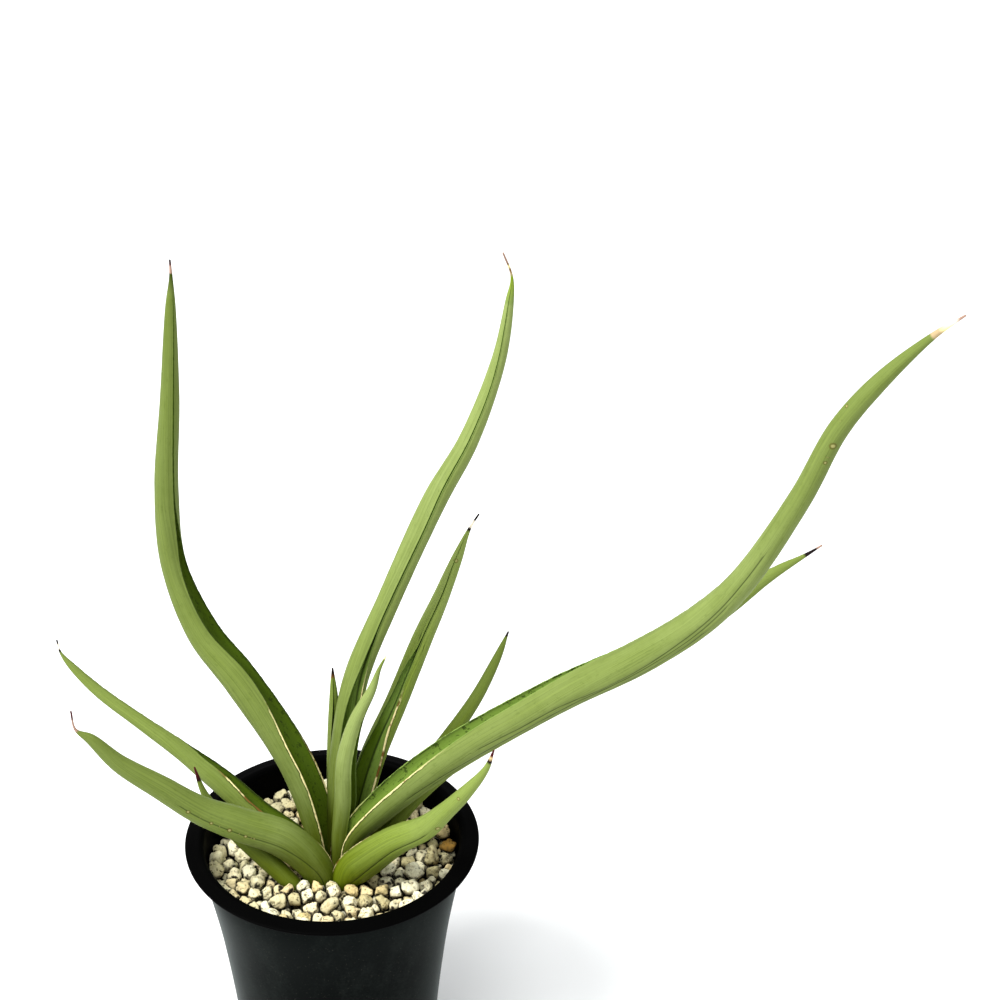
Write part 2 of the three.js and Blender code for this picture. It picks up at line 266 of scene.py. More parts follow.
# %% Floor, world and lamps
FLOOR_REACH = 3000.0  # mm to each side
FLOOR_DULL, FLOOR_BRIGHT = (0.84, 0.85, 0.84, 1.0), (0.86, 0.86, 0.86, 1.0)
SKY = (0.97, 0.985, 1.0, 1.0)
LAMPS = {  # place and width in mm, power in watts
    "lamp_over_left": ((-900, -470, 1450), 720, 35),
    "lamp_overhead": ((-120, -520, 1620), 700, 11),
}
LAMPS_AIM = (0, 0, 100)


def white_floor():
    finish = Finish("studio_floor")
    colour = finish.coats(FLOOR_DULL, (finish.noise(finish.place(), scale=6.0), FLOOR_BRIGHT))
    corners = np.array([[-1, -1, 0], [1, -1, 0], [1, 1, 0], [-1, 1, 0]], float) * FLOOR_REACH
    floor = piece_from("studio_floor", corners, np.array([[0, 1, 2, 3]]))
    dress(floor, finish.end(finish.surface(colour, 0.8)))


def soft_lamp(name, place, width, power):
    data = bpy.data.lights.new(name, "AREA")
    data.shape = "DISK"
    data.size = width * MM
    data.energy = power
    lamp = bpy.data.objects.new(name, data)
    lamp.location = Vector(place) * MM
    lamp.rotation_euler = (Vector(LAMPS_AIM) - Vector(place)).to_track_quat("-Z", "Y").to_euler()
    scene.collection.objects.link(lamp)


white_floor()
for name, (place, width, power) in LAMPS.items():
    soft_lamp(name, place, width, power)
world = bpy.data.worlds.new("studio")
world.use_nodes = True
world.node_tree.nodes["Background"].inputs["Color"].default_value = SKY
world.node_tree.nodes["Background"].inputs["Strength"].default_value = 1.0
scene.world = world
print("lamps:", sorted(LAMPS))

# %% [markdown]
# ## The leaves
#
# Each leaf of a cylindrical snake plant starts as a deep gutter and rolls shut towards its tip, where
# it is round and ends in a dry awn. A leaf bends in one upright plane, so its course needs only a few
# stations of how far out and how far up it is, and how wide. Between them a smooth curve runs through
# the stations, and the gutter turns and closes by its own two short lists. Sculpting each leaf by hand
# would look as lively, but then the dressed leaf would drift away from the solid that it stands for.

# %% Leaf stations
SOIL_LINE = 88.0  # mean top of the grit, from which leaf heights are counted
BURIED = 12.0  # length of a leaf below it

# heading: degrees from +X towards +Y; foot: where the leaf passes the soil line;
# turn, gape: pairs of [share of the length, degrees]; stations: [out along the heading, up, width].
LEAVES = [
    {"name": "leaf_front_right", "heading": -25, "foot": (7, -9),
     "turn": [[0, 0], [0.1, -8], [0.22, -52], [1, -62]],
     "gape": [[0, 75], [0.2, 50], [0.6, 12], [0.8, 6]],
     "stations": [[-4, -12, 8], [-2, 1, 11.8], [5, 10, 13.1], [19, 25, 10.8], [31, 35, 8.8],
                  [39, 45, 6.6], [47, 56, 5.1], [55, 69, 2.4], [58, 78, 0.8]]},
    {"name": "leaf_low_left", "heading": 192, "foot": (-4, -8),
     "turn": [[0, 30], [0.12, 36], [0.3, 58], [1, 70]], "gape": [[0, 45], [0.3, 36], [0.6, 6]],
     "stations": [[-1, -12, 8], [2, 6, 12.5], [14, 21, 13.4], [29, 30, 12.4], [43, 39, 10.3],
                  [56, 51, 8.7], [70, 64, 6.5], [79, 76, 3.9], [84, 81, 1], [85, 89, 0.8]]},
    {"name": "leaf_long_right", "heading": -12, "foot": (5, 2),
     "turn": [[0, 20], [0.15, 18], [0.32, 4], [0.5, -28], [0.8, -45], [1, -50]],
     "gape": [[0, 60], [0.15, 43], [0.38, 24], [0.5, 6]],
     "stations": [[-1, -12, 7.5], [2, 11, 9.6], [13, 27, 11.7], [36, 52, 13.2], [79, 88, 12.7],
                  [107, 108, 11.9], [128, 127, 10.9], [141, 144, 9.4], [159, 180, 7.9], [170, 208, 7.1],
                  [182, 227, 5.9], [198, 246, 2.3], [207, 254, 0.8]]},
    {"name": "leaf_centre_short", "heading": 20, "foot": (2, 6),
     "turn": [[0, 128], [1, 122]], "gape": [[0, 40], [0.5, 25], [0.85, 6]],
     "stations": [[0, -12, 6], [1, 7, 7.4], [3, 25, 8.1], [4, 43, 7.3], [8.3, 60, 5.2], [14.5, 72, 3.2],
                  [17.4, 80, 1.5], [20, 85, 0.8]]},
    {"name": "leaf_low_hooked", "heading": 168, "foot": (-12, -13),
     "turn": [[0, 60], [1, 66]], "gape": [[0, 50], [0.4, 32], [0.8, 6]],
     "stations": [[-7, -12, 5.5], [-1, -3, 6], [5, 4, 6.9], [16, 15, 6.9], [27, 26, 5.1], [34, 38, 2.5],
                  [37, 49, 0.8]]},
    {"name": "leaf_long_left", "heading": 152, "foot": (-3, 9),
     "turn": [[0.2, 2], [0.32, 16], [0.45, 4], [0.55, 0], [0.64, -20], [0.8, -36], [1, -22]],
     "gape": [[0, 67], [0.2, 54], [0.33, 32], [0.45, 38], [0.65, 6]],
     "stations": [[-1, -12, 8], [2, 10, 12.6], [12, 37, 13.2], [34, 66, 13.1], [49, 82, 12.1],
                  [60, 108, 9.4], [61, 140, 8.7], [57, 178, 6.9], [54, 216, 3.6], [53, 228, 1.2],
                  [53, 234, 0.8]]},
    {"name": "leaf_upper_left", "heading": 158, "foot": (-9, 4),
     "turn": [[0.3, 5], [0.47, 16], [0.62, 52], [1, 55]],
     "gape": [[0, 60], [0.3, 41], [0.45, 26], [0.58, 6]],
     "stations": [[-2, -12, 6.5], [2, 5, 8.1], [20, 15, 9.3], [36, 26, 9.1], [51, 35, 6.8],
                  [68, 44, 5.2], [84, 53, 4.3], [95, 62, 2.6], [99, 67, 0.9], [100, 72, 0.8]]},
    {"name": "leaf_mid_right", "heading": 45, "foot": (8, 13),
     "turn": [[0, 30], [0.32, 29], [0.46, 21], [0.54, 21], [0.66, 36], [0.78, 38], [0.88, 27], [1, 25]],
     "gape": [[0, 75], [0.3, 68], [0.42, 38], [0.55, 24], [0.66, 6]],
     "stations": [[-3, -12, 7], [0, 11, 9.6], [9, 34, 9.6], [22.4, 54, 8.3], [35.6, 75, 7.6],
                  [44.8, 88, 6.2], [53.7, 102, 4.1], [60.3, 112, 1.2], [65, 116, 0.8]]},
    {"name": "leaf_long_centre", "heading": 40, "foot": (0, 13),
     "turn": [[0, 60], [0.33, 67], [0.43, 52], [0.56, 60], [0.68, 45], [0.78, 48], [0.88, 35], [1, 34]],
     "gape": [[0, 45], [0.25, 40], [0.42, 6]],
     "stations": [[-1, -12, 7], [2, 3, 9.7], [5, 36, 9.9], [12, 69, 9.3], [28, 97, 8.5], [50, 131, 8.9],
                  [66, 150, 7.4], [80, 178, 5.3], [85, 200, 3.1], [86, 209, 1], [82, 220, 0.8]]},
    {"name": "leaf_thin_right", "heading": 4, "foot": (14, 4),
     "turn": [[0, -20], [1, -50]], "gape": [[0, 45], [0.4, 6]],
     "stations": [[-3, -12, 5], [8, 15, 6.6], [24, 36, 6.9], [55, 60.5, 6.9], [98, 83.5, 6.8],
                  [126, 104, 6.2], [143, 119, 4.3], [156, 127.5, 1.3], [161, 131, 0.8]]},
    {"name": "leaf_back_right", "heading": 38, "foot": (12, 10),
     "turn": [[0, -80], [1, -90]], "gape": [[0, 45], [0.6, 6]],
     "stations": [[-2, -12, 5], [6, 10, 6.3], [25, 23, 6.3], [35, 30, 6], [51.3, 45, 4.9],
                  [61.4, 59, 3.3], [67, 69, 0.8]]},
    {"name": "leaf_back_small", "heading": 0, "foot": (-2, 21),
     "turn": [[0, 90], [1, 92]], "gape": [[0, 35], [0.6, 20], [1, 6]],
     "stations": [[0, -12, 3.5], [1, 14, 4.1], [2, 42, 3.9], [3, 60, 3.4], [3, 69, 1.8], [3, 74, 0.8]]},
]
print(len(LEAVES), "leaves with", sum(len(leaf["stations"]) for leaf in LEAVES), "stations")

# %% [markdown]
# The curve through the stations is a centripetal Catmull-Rom spline, which passes through each
# station and never loops between two that lie close together. Rings are then set at equal steps
# along it, each in its own frame: along the leaf, towards the gutter, and out to the margin.

# %% Course of a leaf
CURVE_STEPS = 60  # points between two stations
RING_STEP = 0.8  # mm between rings
AWN_LENGTH = 6.0  # the dry thread at the tip thins out over this length
AWN_END = 0.8  # width left at its very end, as a share
UP = np.array([0.0, 0.0, 1.0])


def eased(value, start, end):
    share = np.clip((value - start) / (end - start), 0, 1)
    return share * share * (3 - 2 * share)


def varying(pairs, share):
    """A value along a leaf that eases from pair to pair, and holds before the first and after the last."""
    result = np.full(len(share), float(pairs[0][1]))
    for (start, low), (end, high) in zip(pairs[:-1], pairs[1:]):
        result += (high - low) * eased(share, start, end)
    return result


def bend(start, end, leaving, arriving, steps):
    """Points of a curve from start to before end, which leaves and arrives along two vectors."""
    t = np.linspace(0, 1, steps, endpoint=False)[:, None]
    return ((2 * t**3 - 3 * t**2 + 1) * start + (t**3 - 2 * t**2 + t) * leaving
            + (3 * t**2 - 2 * t**3) * end + (t**3 - t**2) * arriving)


def spline(stations):
    points = np.array(stations, float)
    points = np.vstack([2 * points[0] - points[1], points, 2 * points[-1] - points[-2]])
    pieces = []
    for before, start, end, after in zip(points, points[1:], points[2:], points[3:]):
        first, middle, last = (np.linalg.norm(b - a) ** 0.5 for a, b in (
            (before, start), (start, end), (end, after)))
        leaving = ((start - before) / first - (end - before) / (first + middle)) * middle + (end - start)
        arriving = ((after - end) / last - (after - start) / (middle + last)) * middle + (end - start)
        pieces.append(bend(start, end, leaving, arriving, CURVE_STEPS))
    return np.vstack([*pieces, points[-2]])


def leaf_course(leaf):
    """Rings along a leaf: their middles, frames, radii, gapes and turns."""
    curve = spline(leaf["stations"])
    run = np.concatenate([[0], np.cumsum(np.linalg.norm(np.diff(curve, axis=0), axis=1))])
    length = run[-1]
    share = np.linspace(0, 1, int(length / RING_STEP) + 1)
    place = np.stack([np.interp(share * length, run, curve[:, k]) for k in range(3)], axis=1)
    slope = np.gradient(place[:, :2], axis=0)
    slope /= np.linalg.norm(slope, axis=1)[:, None]
    heading = math.radians(leaf["heading"])
    lean = np.array([math.cos(heading), math.sin(heading), 0.0])
    along = slope[:, :1] * lean + slope[:, 1:] * UP
    inward = slope[:, :1] * UP - slope[:, 1:] * lean
    turn = np.radians(varying(leaf["turn"], share))[:, None]
    gutter = inward * np.cos(turn) + np.cross(along, inward) * np.sin(turn)
    thinning = 1 - (1 - AWN_END) * eased(share * length, length - AWN_LENGTH, length)
    return {
        "share": share, "length": length, "along": along, "gutter": gutter,
        "margin": np.cross(along, gutter), "turn": turn[:, 0],
        "middle": np.array([*leaf["foot"], SOIL_LINE]) + place[:, :1] * lean + place[:, 1:2] * UP,
        "radius": place[:, 2] / 2 * thinning, "gape": varying(leaf["gape"], share),
    }


for leaf in LEAVES:
    leaf["course"] = leaf_course(leaf)
    print(leaf["name"], round(leaf["course"]["length"]), "mm,", len(leaf["course"]["share"]), "rings")

# %% [markdown]
# A ring is one closed line: round the back of the leaf from margin to margin, over a papery lip, down
# through the gutter and up over the other lip. Where the leaf has rolled shut the same points make a
# narrow groove. Each point also keeps what the skin wants to know: how far it is from the nearest
# lip, and where it is on an unrolled leaf, so that veins run with the leaf and not with the world.

# %% Section of a leaf
BACK_POINTS, GUTTER_POINTS = (14, 3.6), (8, 1.2)  # so many, and more for each mm of the leaf's width
LIP_POINTS = 5
OPEN_GAPE, SHUT_GAPE = 80.0, 12.0  # degrees: the gutter at its widest, and rolled shut
OPEN_FLOOR, SHUT_FLOOR = -0.32, 0.35  # height of the gutter's floor over the middle, in radii
LIP_THICKNESS, LIP_SHARE = 0.9, 0.28  # a lip's most: in mm, and in radii
LIP_SHUT = 0.6  # share of its thickness that a lip loses where the leaf is shut
MOUTH_LEAST = 0.04  # half the width of the shut groove, in radii
SHALLOW_RADIUS = 2.2  # slimmer leaves have a shallower gutter
VEIN_RADIUS = 6.0  # veins lie on a cylinder of this radius, and so close up where a leaf thins
GUTTER_VEINS = 30.0  # and those of the gutter this far from it, so that they differ from the back's


def ring_points(width):
    """How many points a ring has on its back, its + lip, its gutter and its - lip."""
    back, gutter = (int(least + more * width) for least, more in (BACK_POINTS, GUTTER_POINTS))
    return back, LIP_POINTS, gutter, LIP_POINTS


def leaf_section(course, points):
    """Points of all rings in their own planes, and what is stored on them."""
    radius = course["radius"][:, None]
    margin = np.radians(180 - course["gape"])[:, None]
    shut = np.clip((OPEN_GAPE - course["gape"]) / (OPEN_GAPE - SHUT_GAPE), 0, 1)[:, None]
    lip = np.minimum(LIP_THICKNESS, LIP_SHARE * radius) * (1 - LIP_SHUT * shut)
    corner = radius * np.sin(margin)
    mouth = np.maximum(corner - lip, MOUTH_LEAST * radius)
    height = -radius * np.cos(margin)
    floor = radius * (OPEN_FLOOR + (SHUT_FLOOR - OPEN_FLOOR) * shut)
    depth = (height - floor) * np.minimum(1, radius / SHALLOW_RADIUS)

    back = np.linspace(-1, 1, points[0])[None, :] * margin
    over = np.linspace(0, math.pi, points[1] + 2)[None, 1:-1]
    down = np.linspace(0, math.pi, points[2])[None, :]
    lip_middle, lip_half = (corner + mouth) / 2, (corner - mouth) / 2
    lip_rise = height + lip / 2 * np.sin(over)
    lip_reach = lip * math.pi / 4
    from_crest = lip_reach * (1 - over / (math.pi / 2))

    def ring(*parts):
        """Joins values for the back, the + lip, the gutter and the - lip."""
        return np.hstack([np.broadcast_to(part, (len(radius), count))
                          for part, count in zip(parts, points)])

    return {
        "mouth": mouth,
        "x": ring(radius * np.sin(back), lip_middle + lip_half * np.cos(over), mouth * np.cos(down),
                  -lip_middle + lip_half * np.cos(over)),
        "y": ring(-radius * np.cos(back), lip_rise, height - depth * np.sin(down), lip_rise),
        "from_lip": ring(radius * (margin - np.abs(back)) + lip_reach, from_crest,
                         -np.sin(down) * np.maximum(depth, mouth) - lip_reach, -from_crest),
        "angle": ring(back, margin, 0.0, -margin),
        "vein_x": ring(VEIN_RADIUS * np.cos(back), VEIN_RADIUS * np.cos(margin),
                       GUTTER_VEINS + VEIN_RADIUS * np.cos(down), VEIN_RADIUS * np.cos(margin)),
        "vein_y": ring(VEIN_RADIUS * np.sin(back), VEIN_RADIUS * np.sin(margin), 0.0,
                       -VEIN_RADIUS * np.sin(margin)),
        "on_back": ring(True, False, False, False),
        "cross": ring(0.0, 0.0, np.cos(down), 0.0),
    }


print("points in a ring of a leaf 10 mm wide:", ring_points(10))

# %% [markdown]
# Skins differ by their scars. A furrow is a line along the back of a leaf, a crease one along its
# gutter, and a scar a small ring. The distance to each is stored on the points, the furrows are also
# pressed into the mesh, and the skin colours them all by that distance.

# %% Furrows, creases and scars
FAR = 50.0  # mm: the distance stored where a leaf has no furrow or scar nearby
FURROW_DEPTH, FURROW_WIDTH = 0.22, 0.5  # mm
MARK_ENDING = 0.25  # how fast a line fades past its two ends

# [share of the length, degrees round the back from the keel of the unturned leaf]
FURROWS = {
    "leaf_long_right": [[(0.28, 81), (0.332, 74), (0.386, 76), (0.432, 66), (0.496, 76), (0.537, 86),
                         (0.629, 96), (0.67, 95)],
                        [(0.17, 66), (0.26, 58), (0.34, 56), (0.43, 60), (0.52, 70), (0.60, 80)],
                        [(0.2, 50), (0.28, 45), (0.38, 40), (0.48, 48), (0.56, 58)]],
    "leaf_low_left": [[(0.1, -97), (0.2, -92), (0.5, -87), (0.58, -87)]],
    "leaf_mid_right": [[(0.2, 150), (0.26, 149), (0.35, 152), (0.44, 160), (0.53, 160), (0.63, 146)],
                       [(0.644, 137), (0.655, 139)], [(0.658, 158), (0.666, 160)],
                       [(0.634, 112), (0.641, 116)]],
    "leaf_front_right": [[(0.12, 60), (0.2, 66), (0.4, 72), (0.55, 70)]],
}

# [share of the length, place across the gutter: -1 at one lip, 1 at the other]
CREASES = {
    "leaf_mid_right": [[(0.12, 0.0), (0.3, 0.0), (0.6, 0.1), (0.68, 0.2)],
                       [(0.14, -0.08), (0.4, -0.1), (0.55, 0.0)]],
    "leaf_long_centre": [[(0.1, 0.75), (0.25, 0.8), (0.4, 0.5)]],
    "leaf_centre_short": [[(0.1, 0.2), (0.5, 0.2), (0.8, 0.0)], [(0.1, -0.5), (0.6, -0.4)]],
    "leaf_back_small": [[(0.4, -0.3), (0.95, 0.0)], [(0.4, 0.3), (0.9, 0.0)]],
}

# share, degrees, radius in mm
SCARS = {
    "leaf_low_left": [(0.555, -86, 1.0), (0.484, -88, 0.9), (0.431, -89, 1.15), (0.384, -88, 0.8),
                      (0.36, -89, 0.5)],
    "leaf_long_right": [(0.855, 150, 0.8), (0.814, 76, 1.5), (0.794, 70, 0.9)],
    "leaf_mid_right": [(0.87, 142, 1.0)],
    "leaf_front_right": [(0.604, 48, 1.2), (0.76, 100, 0.8)],
}


def round_the_leaf(course, section, degrees):
    """Millimetres round the leaf from a mark, which is given on the unturned leaf, to each point."""
    apart = section["angle"] - (np.radians(degrees) + course["turn"])[:, None]
    return ((apart + math.pi) % (2 * math.pi) - math.pi) * course["radius"][:, None]


def line_distance(course, across, shares, where):
    """Signed distance to a line, which grows slowly past its two ends."""
    beyond = np.maximum(shares[0] - course["share"], course["share"] - shares[-1]) * course["length"]
    ending = MARK_ENDING * np.maximum(beyond, 0)[:, None]
    return np.where(where, np.sign(across) * (np.abs(across) + ending), FAR)


def furrow_distance(course, section, furrow):
    shares, degrees = zip(*furrow)
    across = round_the_leaf(course, section, np.interp(course["share"], shares, degrees))
    return line_distance(course, across, shares, section["on_back"])


def crease_distance(course, section, crease):
    shares, places = zip(*crease)
    here = np.interp(course["share"], shares, places)[:, None]
    across = (section["cross"] - here) * section["mouth"]
    return line_distance(course, across, shares, section["from_lip"] < 0)


def scar_offset(course, section, scars):
    """From the nearest scar to each point, in scar radii: round the leaf, along it, and nothing."""
    nearest = np.full(section["x"].shape + (2,), FAR)
    for share, degrees, size in scars:
        across = round_the_leaf(course, section, degrees)
        along = np.broadcast_to(((course["share"] - share) * course["length"])[:, None], across.shape)
        offset = np.stack([across, along], axis=-1) / size
        closer = np.linalg.norm(offset, axis=-1) < np.linalg.norm(nearest, axis=-1)
        nearest = np.where((closer & section["on_back"])[..., None], offset, nearest)
    return np.concatenate([nearest, np.zeros(section["x"].shape + (1,))], axis=-1)


for kind, marks in (("furrows", FURROWS), ("creases", CREASES), ("scars", SCARS)):
    print(kind + ":", sum(map(len, marks.values())), "on", len(marks), "leaves")

# %% [markdown]
# The rings are now joined into one closed skin. A little unevenness along the leaf, pressed furrows
# and a wavering lip keep it from looking turned on a lathe.

# %% Build the leaves
WAVER, WAVER_LENGTHS = 0.006, (9.0, 17.0, 31.0)  # wander of a leaf's width, in radii, over these mm
LIP_RAGGED, RAGGED_LENGTHS = 0.09, (2.3, 4.1, 7.7)  # wander of its lips, in mm, over these mm
LIP_WIDTH = 0.5  # mm to each side of a lip that rise and fall with it
LEAST_RADIUS = 2.0  # mm: where a leaf is slimmer than this, furrows get shallower with it
END_BULGE = 0.3  # mm by which the last point stands out of the last ring


def waver(run, seed, lengths):
    """A smooth wander between about -1 and 1 along a length in millimetres."""
    phase = np.random.default_rng(seed).uniform(0, 2 * math.pi, len(lengths))
    waves = [np.sin(2 * math.pi * run / size + start) for size, start in zip(lengths, phase)]
    return (sum(waves) / len(lengths))[:, None]


def on_points(values):
    """Values of the rings, with those of the first and last ring repeated for the two end points."""
    values = values.reshape(values.shape[0] * values.shape[1], -1)
    values = np.vstack([values, values[:1], values[-1:]])
    return values[:, 0] if values.shape[1] == 1 else values


def build_leaf(leaf, seed):
    course = leaf["course"]
    points = ring_points(max(width for _, _, width in leaf["stations"]))
    section = leaf["section"] = leaf_section(course, points)
    run = course["share"] * course["length"]
    furrows = [furrow_distance(course, section, furrow) for furrow in FURROWS.get(leaf["name"], [])]
    creases = [crease_distance(course, section, crease) for crease in CREASES.get(leaf["name"], [])]
    girth = np.maximum(course["radius"][:, None], LEAST_RADIUS)
    press = np.ones_like(section["x"]) + WAVER * waver(run, seed, WAVER_LENGTHS)
    for distance in furrows:
        press -= FURROW_DEPTH / girth * np.exp(-(distance / FURROW_WIDTH) ** 2)
    on_lip = np.exp(-(section["from_lip"] / LIP_WIDTH) ** 2)
    press += LIP_RAGGED * (on_lip * waver(run, seed + 50, RAGGED_LENGTHS)) / girth
    x, y = (section["x"] * press)[..., None], (section["y"] * press)[..., None]
    middle, margin, gutter = (course[part][:, None, :] for part in ("middle", "margin", "gutter"))
    ends = np.stack([course["middle"][0], course["middle"][-1] + END_BULGE * course["along"][-1]])
    corners = np.vstack([(middle + x * margin + y * gutter).reshape(-1, 3), ends])

    rows, columns = press.shape
    quads = net_faces(rows, columns)
    first = np.arange(columns)
    beside = np.roll(first, -1)
    last = first + (rows - 1) * columns
    foot_end, tip_end = (np.full(columns, len(corners) - back) for back in (2, 1))
    triangles = np.vstack([quads[:, [0, 1, 2]], quads[:, [0, 2, 3]],
                           np.stack([foot_end, beside, first], axis=1),
                           np.stack([tip_end, last, np.roll(last, -1)], axis=1)])
    stored = {
        "from_lip": section["from_lip"],
        "vein": np.stack([section["vein_x"], section["vein_y"], run[:, None] + 0 * press], axis=-1),
        "scar": scar_offset(course, section, SCARS.get(leaf["name"], [])),
        **{f"line_{number}": distance for number, distance in enumerate(furrows + creases)},
    }
    leaf["lines"] = len(furrows + creases)
    return piece_from(leaf["name"] + "_skin", corners, triangles,
                      {label: on_points(values) for label, values in stored.items()})


for number, leaf in enumerate(LEAVES):
    leaf["piece"] = build_leaf(leaf, number)
    print(leaf["piece"].name, len(leaf["piece"].data.polygons), "triangles")

# %% [markdown]
# ## The skin of the leaves
#
# Under a snake plant's skin the flesh is a saturated green, and a thin grey-green wax lies over it,
# thick on a young leaf's back and rubbed off in the gutter. So the colour is built as the plant
# builds it: flesh first, fine dark veins, the wax, and last what wear and age leave, which are the
# papery margins, the furrows, the scars and the dry tip. A single green with noise never shows that
# the back and the gutter of one leaf are the same tissue under two coats.

# %% Leaf colours and habits
FLESH = paint(82, 97, 24)
FRESH = paint(114, 134, 30)
FLESH_DARK = paint(46, 62, 8)
GUTTER_DARK = paint(46, 64, 8)
GUTTER_LIGHT = paint(78, 102, 20)
GUTTER_PALE = paint(132, 160, 76)
BASE = paint(82, 94, 2)
WAX = paint(127, 141, 80)
CREAM = paint(226, 212, 154)
RUST = paint(108, 74, 32)
LINE = paint(24, 36, 8)
SCAR_PALE = paint(156, 152, 96)
SCAR_RIM = paint(78, 68, 24)

BLACK = paint(20, 10, 10)
RED_BLACK = paint(66, 18, 20)
PINK = paint(150, 120, 104)
STRAW = paint(206, 178, 130)
PAPER = paint(226, 216, 196)
SAND = paint(166, 145, 109)
TIP_DARK = paint(46, 60, 4)
TIP_GREEN = paint(94, 107, 50)
TIP_PALE = paint(110, 127, 66)

# fresh: 0 olive flesh to 1 young green. papery: shares of the length up to which the - and + margins
# have dried, and how wide, in mm. flecks: how many there are. rust: how much more of it than usual.
# pale_edge: 0 dark to 1 pale green lips. wax: pairs of [share of the length, thickness 0 to 1].
# gutter: [share, tone at its - lip, tone at its + lip], where 0 is dark, 1 bright and 2 pale. The tones
# are partly the gutter's own green and partly painted shade and painted light: a wall in shade is
# given a darker tone, a lit wall a paler one.
# tip: colours at millimetres from the end, dry ones first; after the last the leaf's own green begins.
USUAL = {"fresh": 0.1, "papery": (0, 0, 0.4), "flecks": 0.3, "rust": 0.0, "pale_edge": 0.0,
         "gutter": [[0, 0.5, 0.5]]}
HABITS = {
    "leaf_front_right": {
        "fresh": 1.15, "papery": (0, 0.3, 0.7), "pale_edge": 0.2,
        "wax": [[0, 0.0], [0.12, 0.05], [0.25, 0.4], [0.4, 0.42], [0.6, 0.6], [1, 0.62]],
        "tip": [(2.5, RED_BLACK), (3.5, STRAW), (5, BLACK), (6, BLACK)]},
    "leaf_low_left": {
        "papery": (0.17, 0, 0.8), "wax": [[0, 0.45], [0.14, 0.75], [0.26, 0.65], [0.4, 0.4]],
        "tip": [(3, RED_BLACK), (4, PINK), (9, PINK)]},
    "leaf_long_right": {
        "papery": (0.1, 0.22, 0.6), "flecks": 1.0, "rust": -0.06, "pale_edge": 0.9,
        "gutter": [[0, 1.3, 1.5], [0.4, 1.5, 1.8]],
        "wax": [[0, 0.35], [0.15, 0.6], [0.45, 0.6], [0.63, 0.76], [0.76, 0.5], [1, 0.48]],
        "tip": [(2, PINK), (4, PAPER), (8, CREAM), (10, SAND), (13, SAND)]},
    "leaf_centre_short": {
        "fresh": 0.2, "flecks": 0.0, "pale_edge": 0.5, "gutter": [[0, 0.8, 0.8]],
        "wax": [[0, 0.5], [0.15, 0.8], [0.6, 1.1], [0.85, 1.1], [1, 0.2]],
        "tip": [(0, CREAM), (1, CREAM)]},
    "leaf_low_hooked": {
        # this leaf's young green and wax are partly its own colour and partly painted light, lifting it
        # where another leaf lies over it
        "fresh": 0.4, "papery": (0.32, 0, 0.6), "wax": [[0, 0.4], [1, 0.3]],
        "tip": [(3, RED_BLACK), (6, BLACK)]},
    "leaf_long_left": {
        "fresh": 0, "papery": (0.27, 0.2, 0.6), "flecks": 0.8, "rust": -0.02, "pale_edge": 0.1,
        "gutter": [[0, 0.6, 0.8], [0.2, 0.5, 0.7], [0.35, 0.05, 0.3], [0.55, 0.3, 0.5], [0.8, 1.1, 1.1]],
        "wax": [[0, 0.4], [0.15, 0.62], [0.3, 0.42], [0.45, 0.4], [0.6, 0.42], [1, 0.3]],
        "tip": [(0, BLACK), (1.6, RED_BLACK), (2.2, PINK), (4.6, PINK), (5.2, TIP_DARK), (13, TIP_GREEN)]},
    "leaf_upper_left": {
        "fresh": 0.2, "papery": (0.42, 0.12, 0.6), "flecks": 0.6, "rust": 0.03,
        "gutter": [[0, 0.4, 0.5]], "wax": [[0, 0.4], [1, 0.45]],
        "tip": [(1.2, BLACK), (2, PAPER), (3.4, PAPER), (4.2, BLACK), (5, BLACK)]},
    "leaf_mid_right": {
        # the full young green here is partly the leaf's own colour and partly painted light, lifting it
        # where the long centre leaf shades it
        "fresh": 1.0, "papery": (0, 0.5, 0.8), "flecks": 0.5, "rust": -0.05, "pale_edge": 0.6,
        "gutter": [[0, 0.4, 1.6], [0.36, 0.8, 1.7], [0.5, 1.9, 2.0]],
        "wax": [[0, 0.2], [0.5, 0.3], [0.8, 0.8], [1, 0.7]],
        "tip": [(2.6, BLACK), (3.4, PAPER), (5.6, PAPER), (6.3, BLACK), (7.3, BLACK)]},
    "leaf_long_centre": {
        "papery": (0.05, 0.33, 0.35), "flecks": 0.5, "rust": -0.02, "pale_edge": 0.3,
        "gutter": [[0, 1.2, 1.4], [0.3, 1.3, 1.6], [0.7, 1.9, 2.0]],
        "wax": [[0, 0.3], [0.15, 0.4], [0.35, 0.55], [0.6, 0.8], [0.8, 0.95], [0.9, 1.0], [1, 0.8]],
        "tip": [(4.5, PINK), (5.2, RUST), (6.5, CREAM), (8, RUST), (10, SAND), (11.5, FRESH),
                (22, TIP_PALE)]},
    "leaf_thin_right": {
        "fresh": 0.4, "gutter": [[0, 0.3, 0.3]], "wax": [[0, 0.3], [0.7, 0.5], [1, 0.45]],
        "tip": [(1.5, PINK), (2.5, BLACK), (7, BLACK)]},
    "leaf_back_right": {
        "gutter": [[0, 0.3, 0.3]], "wax": [[0.5, 0.0], [0.8, 0.25]],
        "tip": [(0, BLACK), (2, BLACK)]},
    "leaf_back_small": {
        "fresh": 0.5, "papery": (0.5, 0.3, 0.4), "flecks": 0.8, "rust": 0.1,
        "gutter": [[0, 0.4, 0.6]], "wax": [[0.7, 0.6], [1, 0.3]],
        "tip": [(2, BLACK), (4, RUST)]},
}
DRY_BLUR = 0.06  # share of the length over which a dry margin gives way to a green one


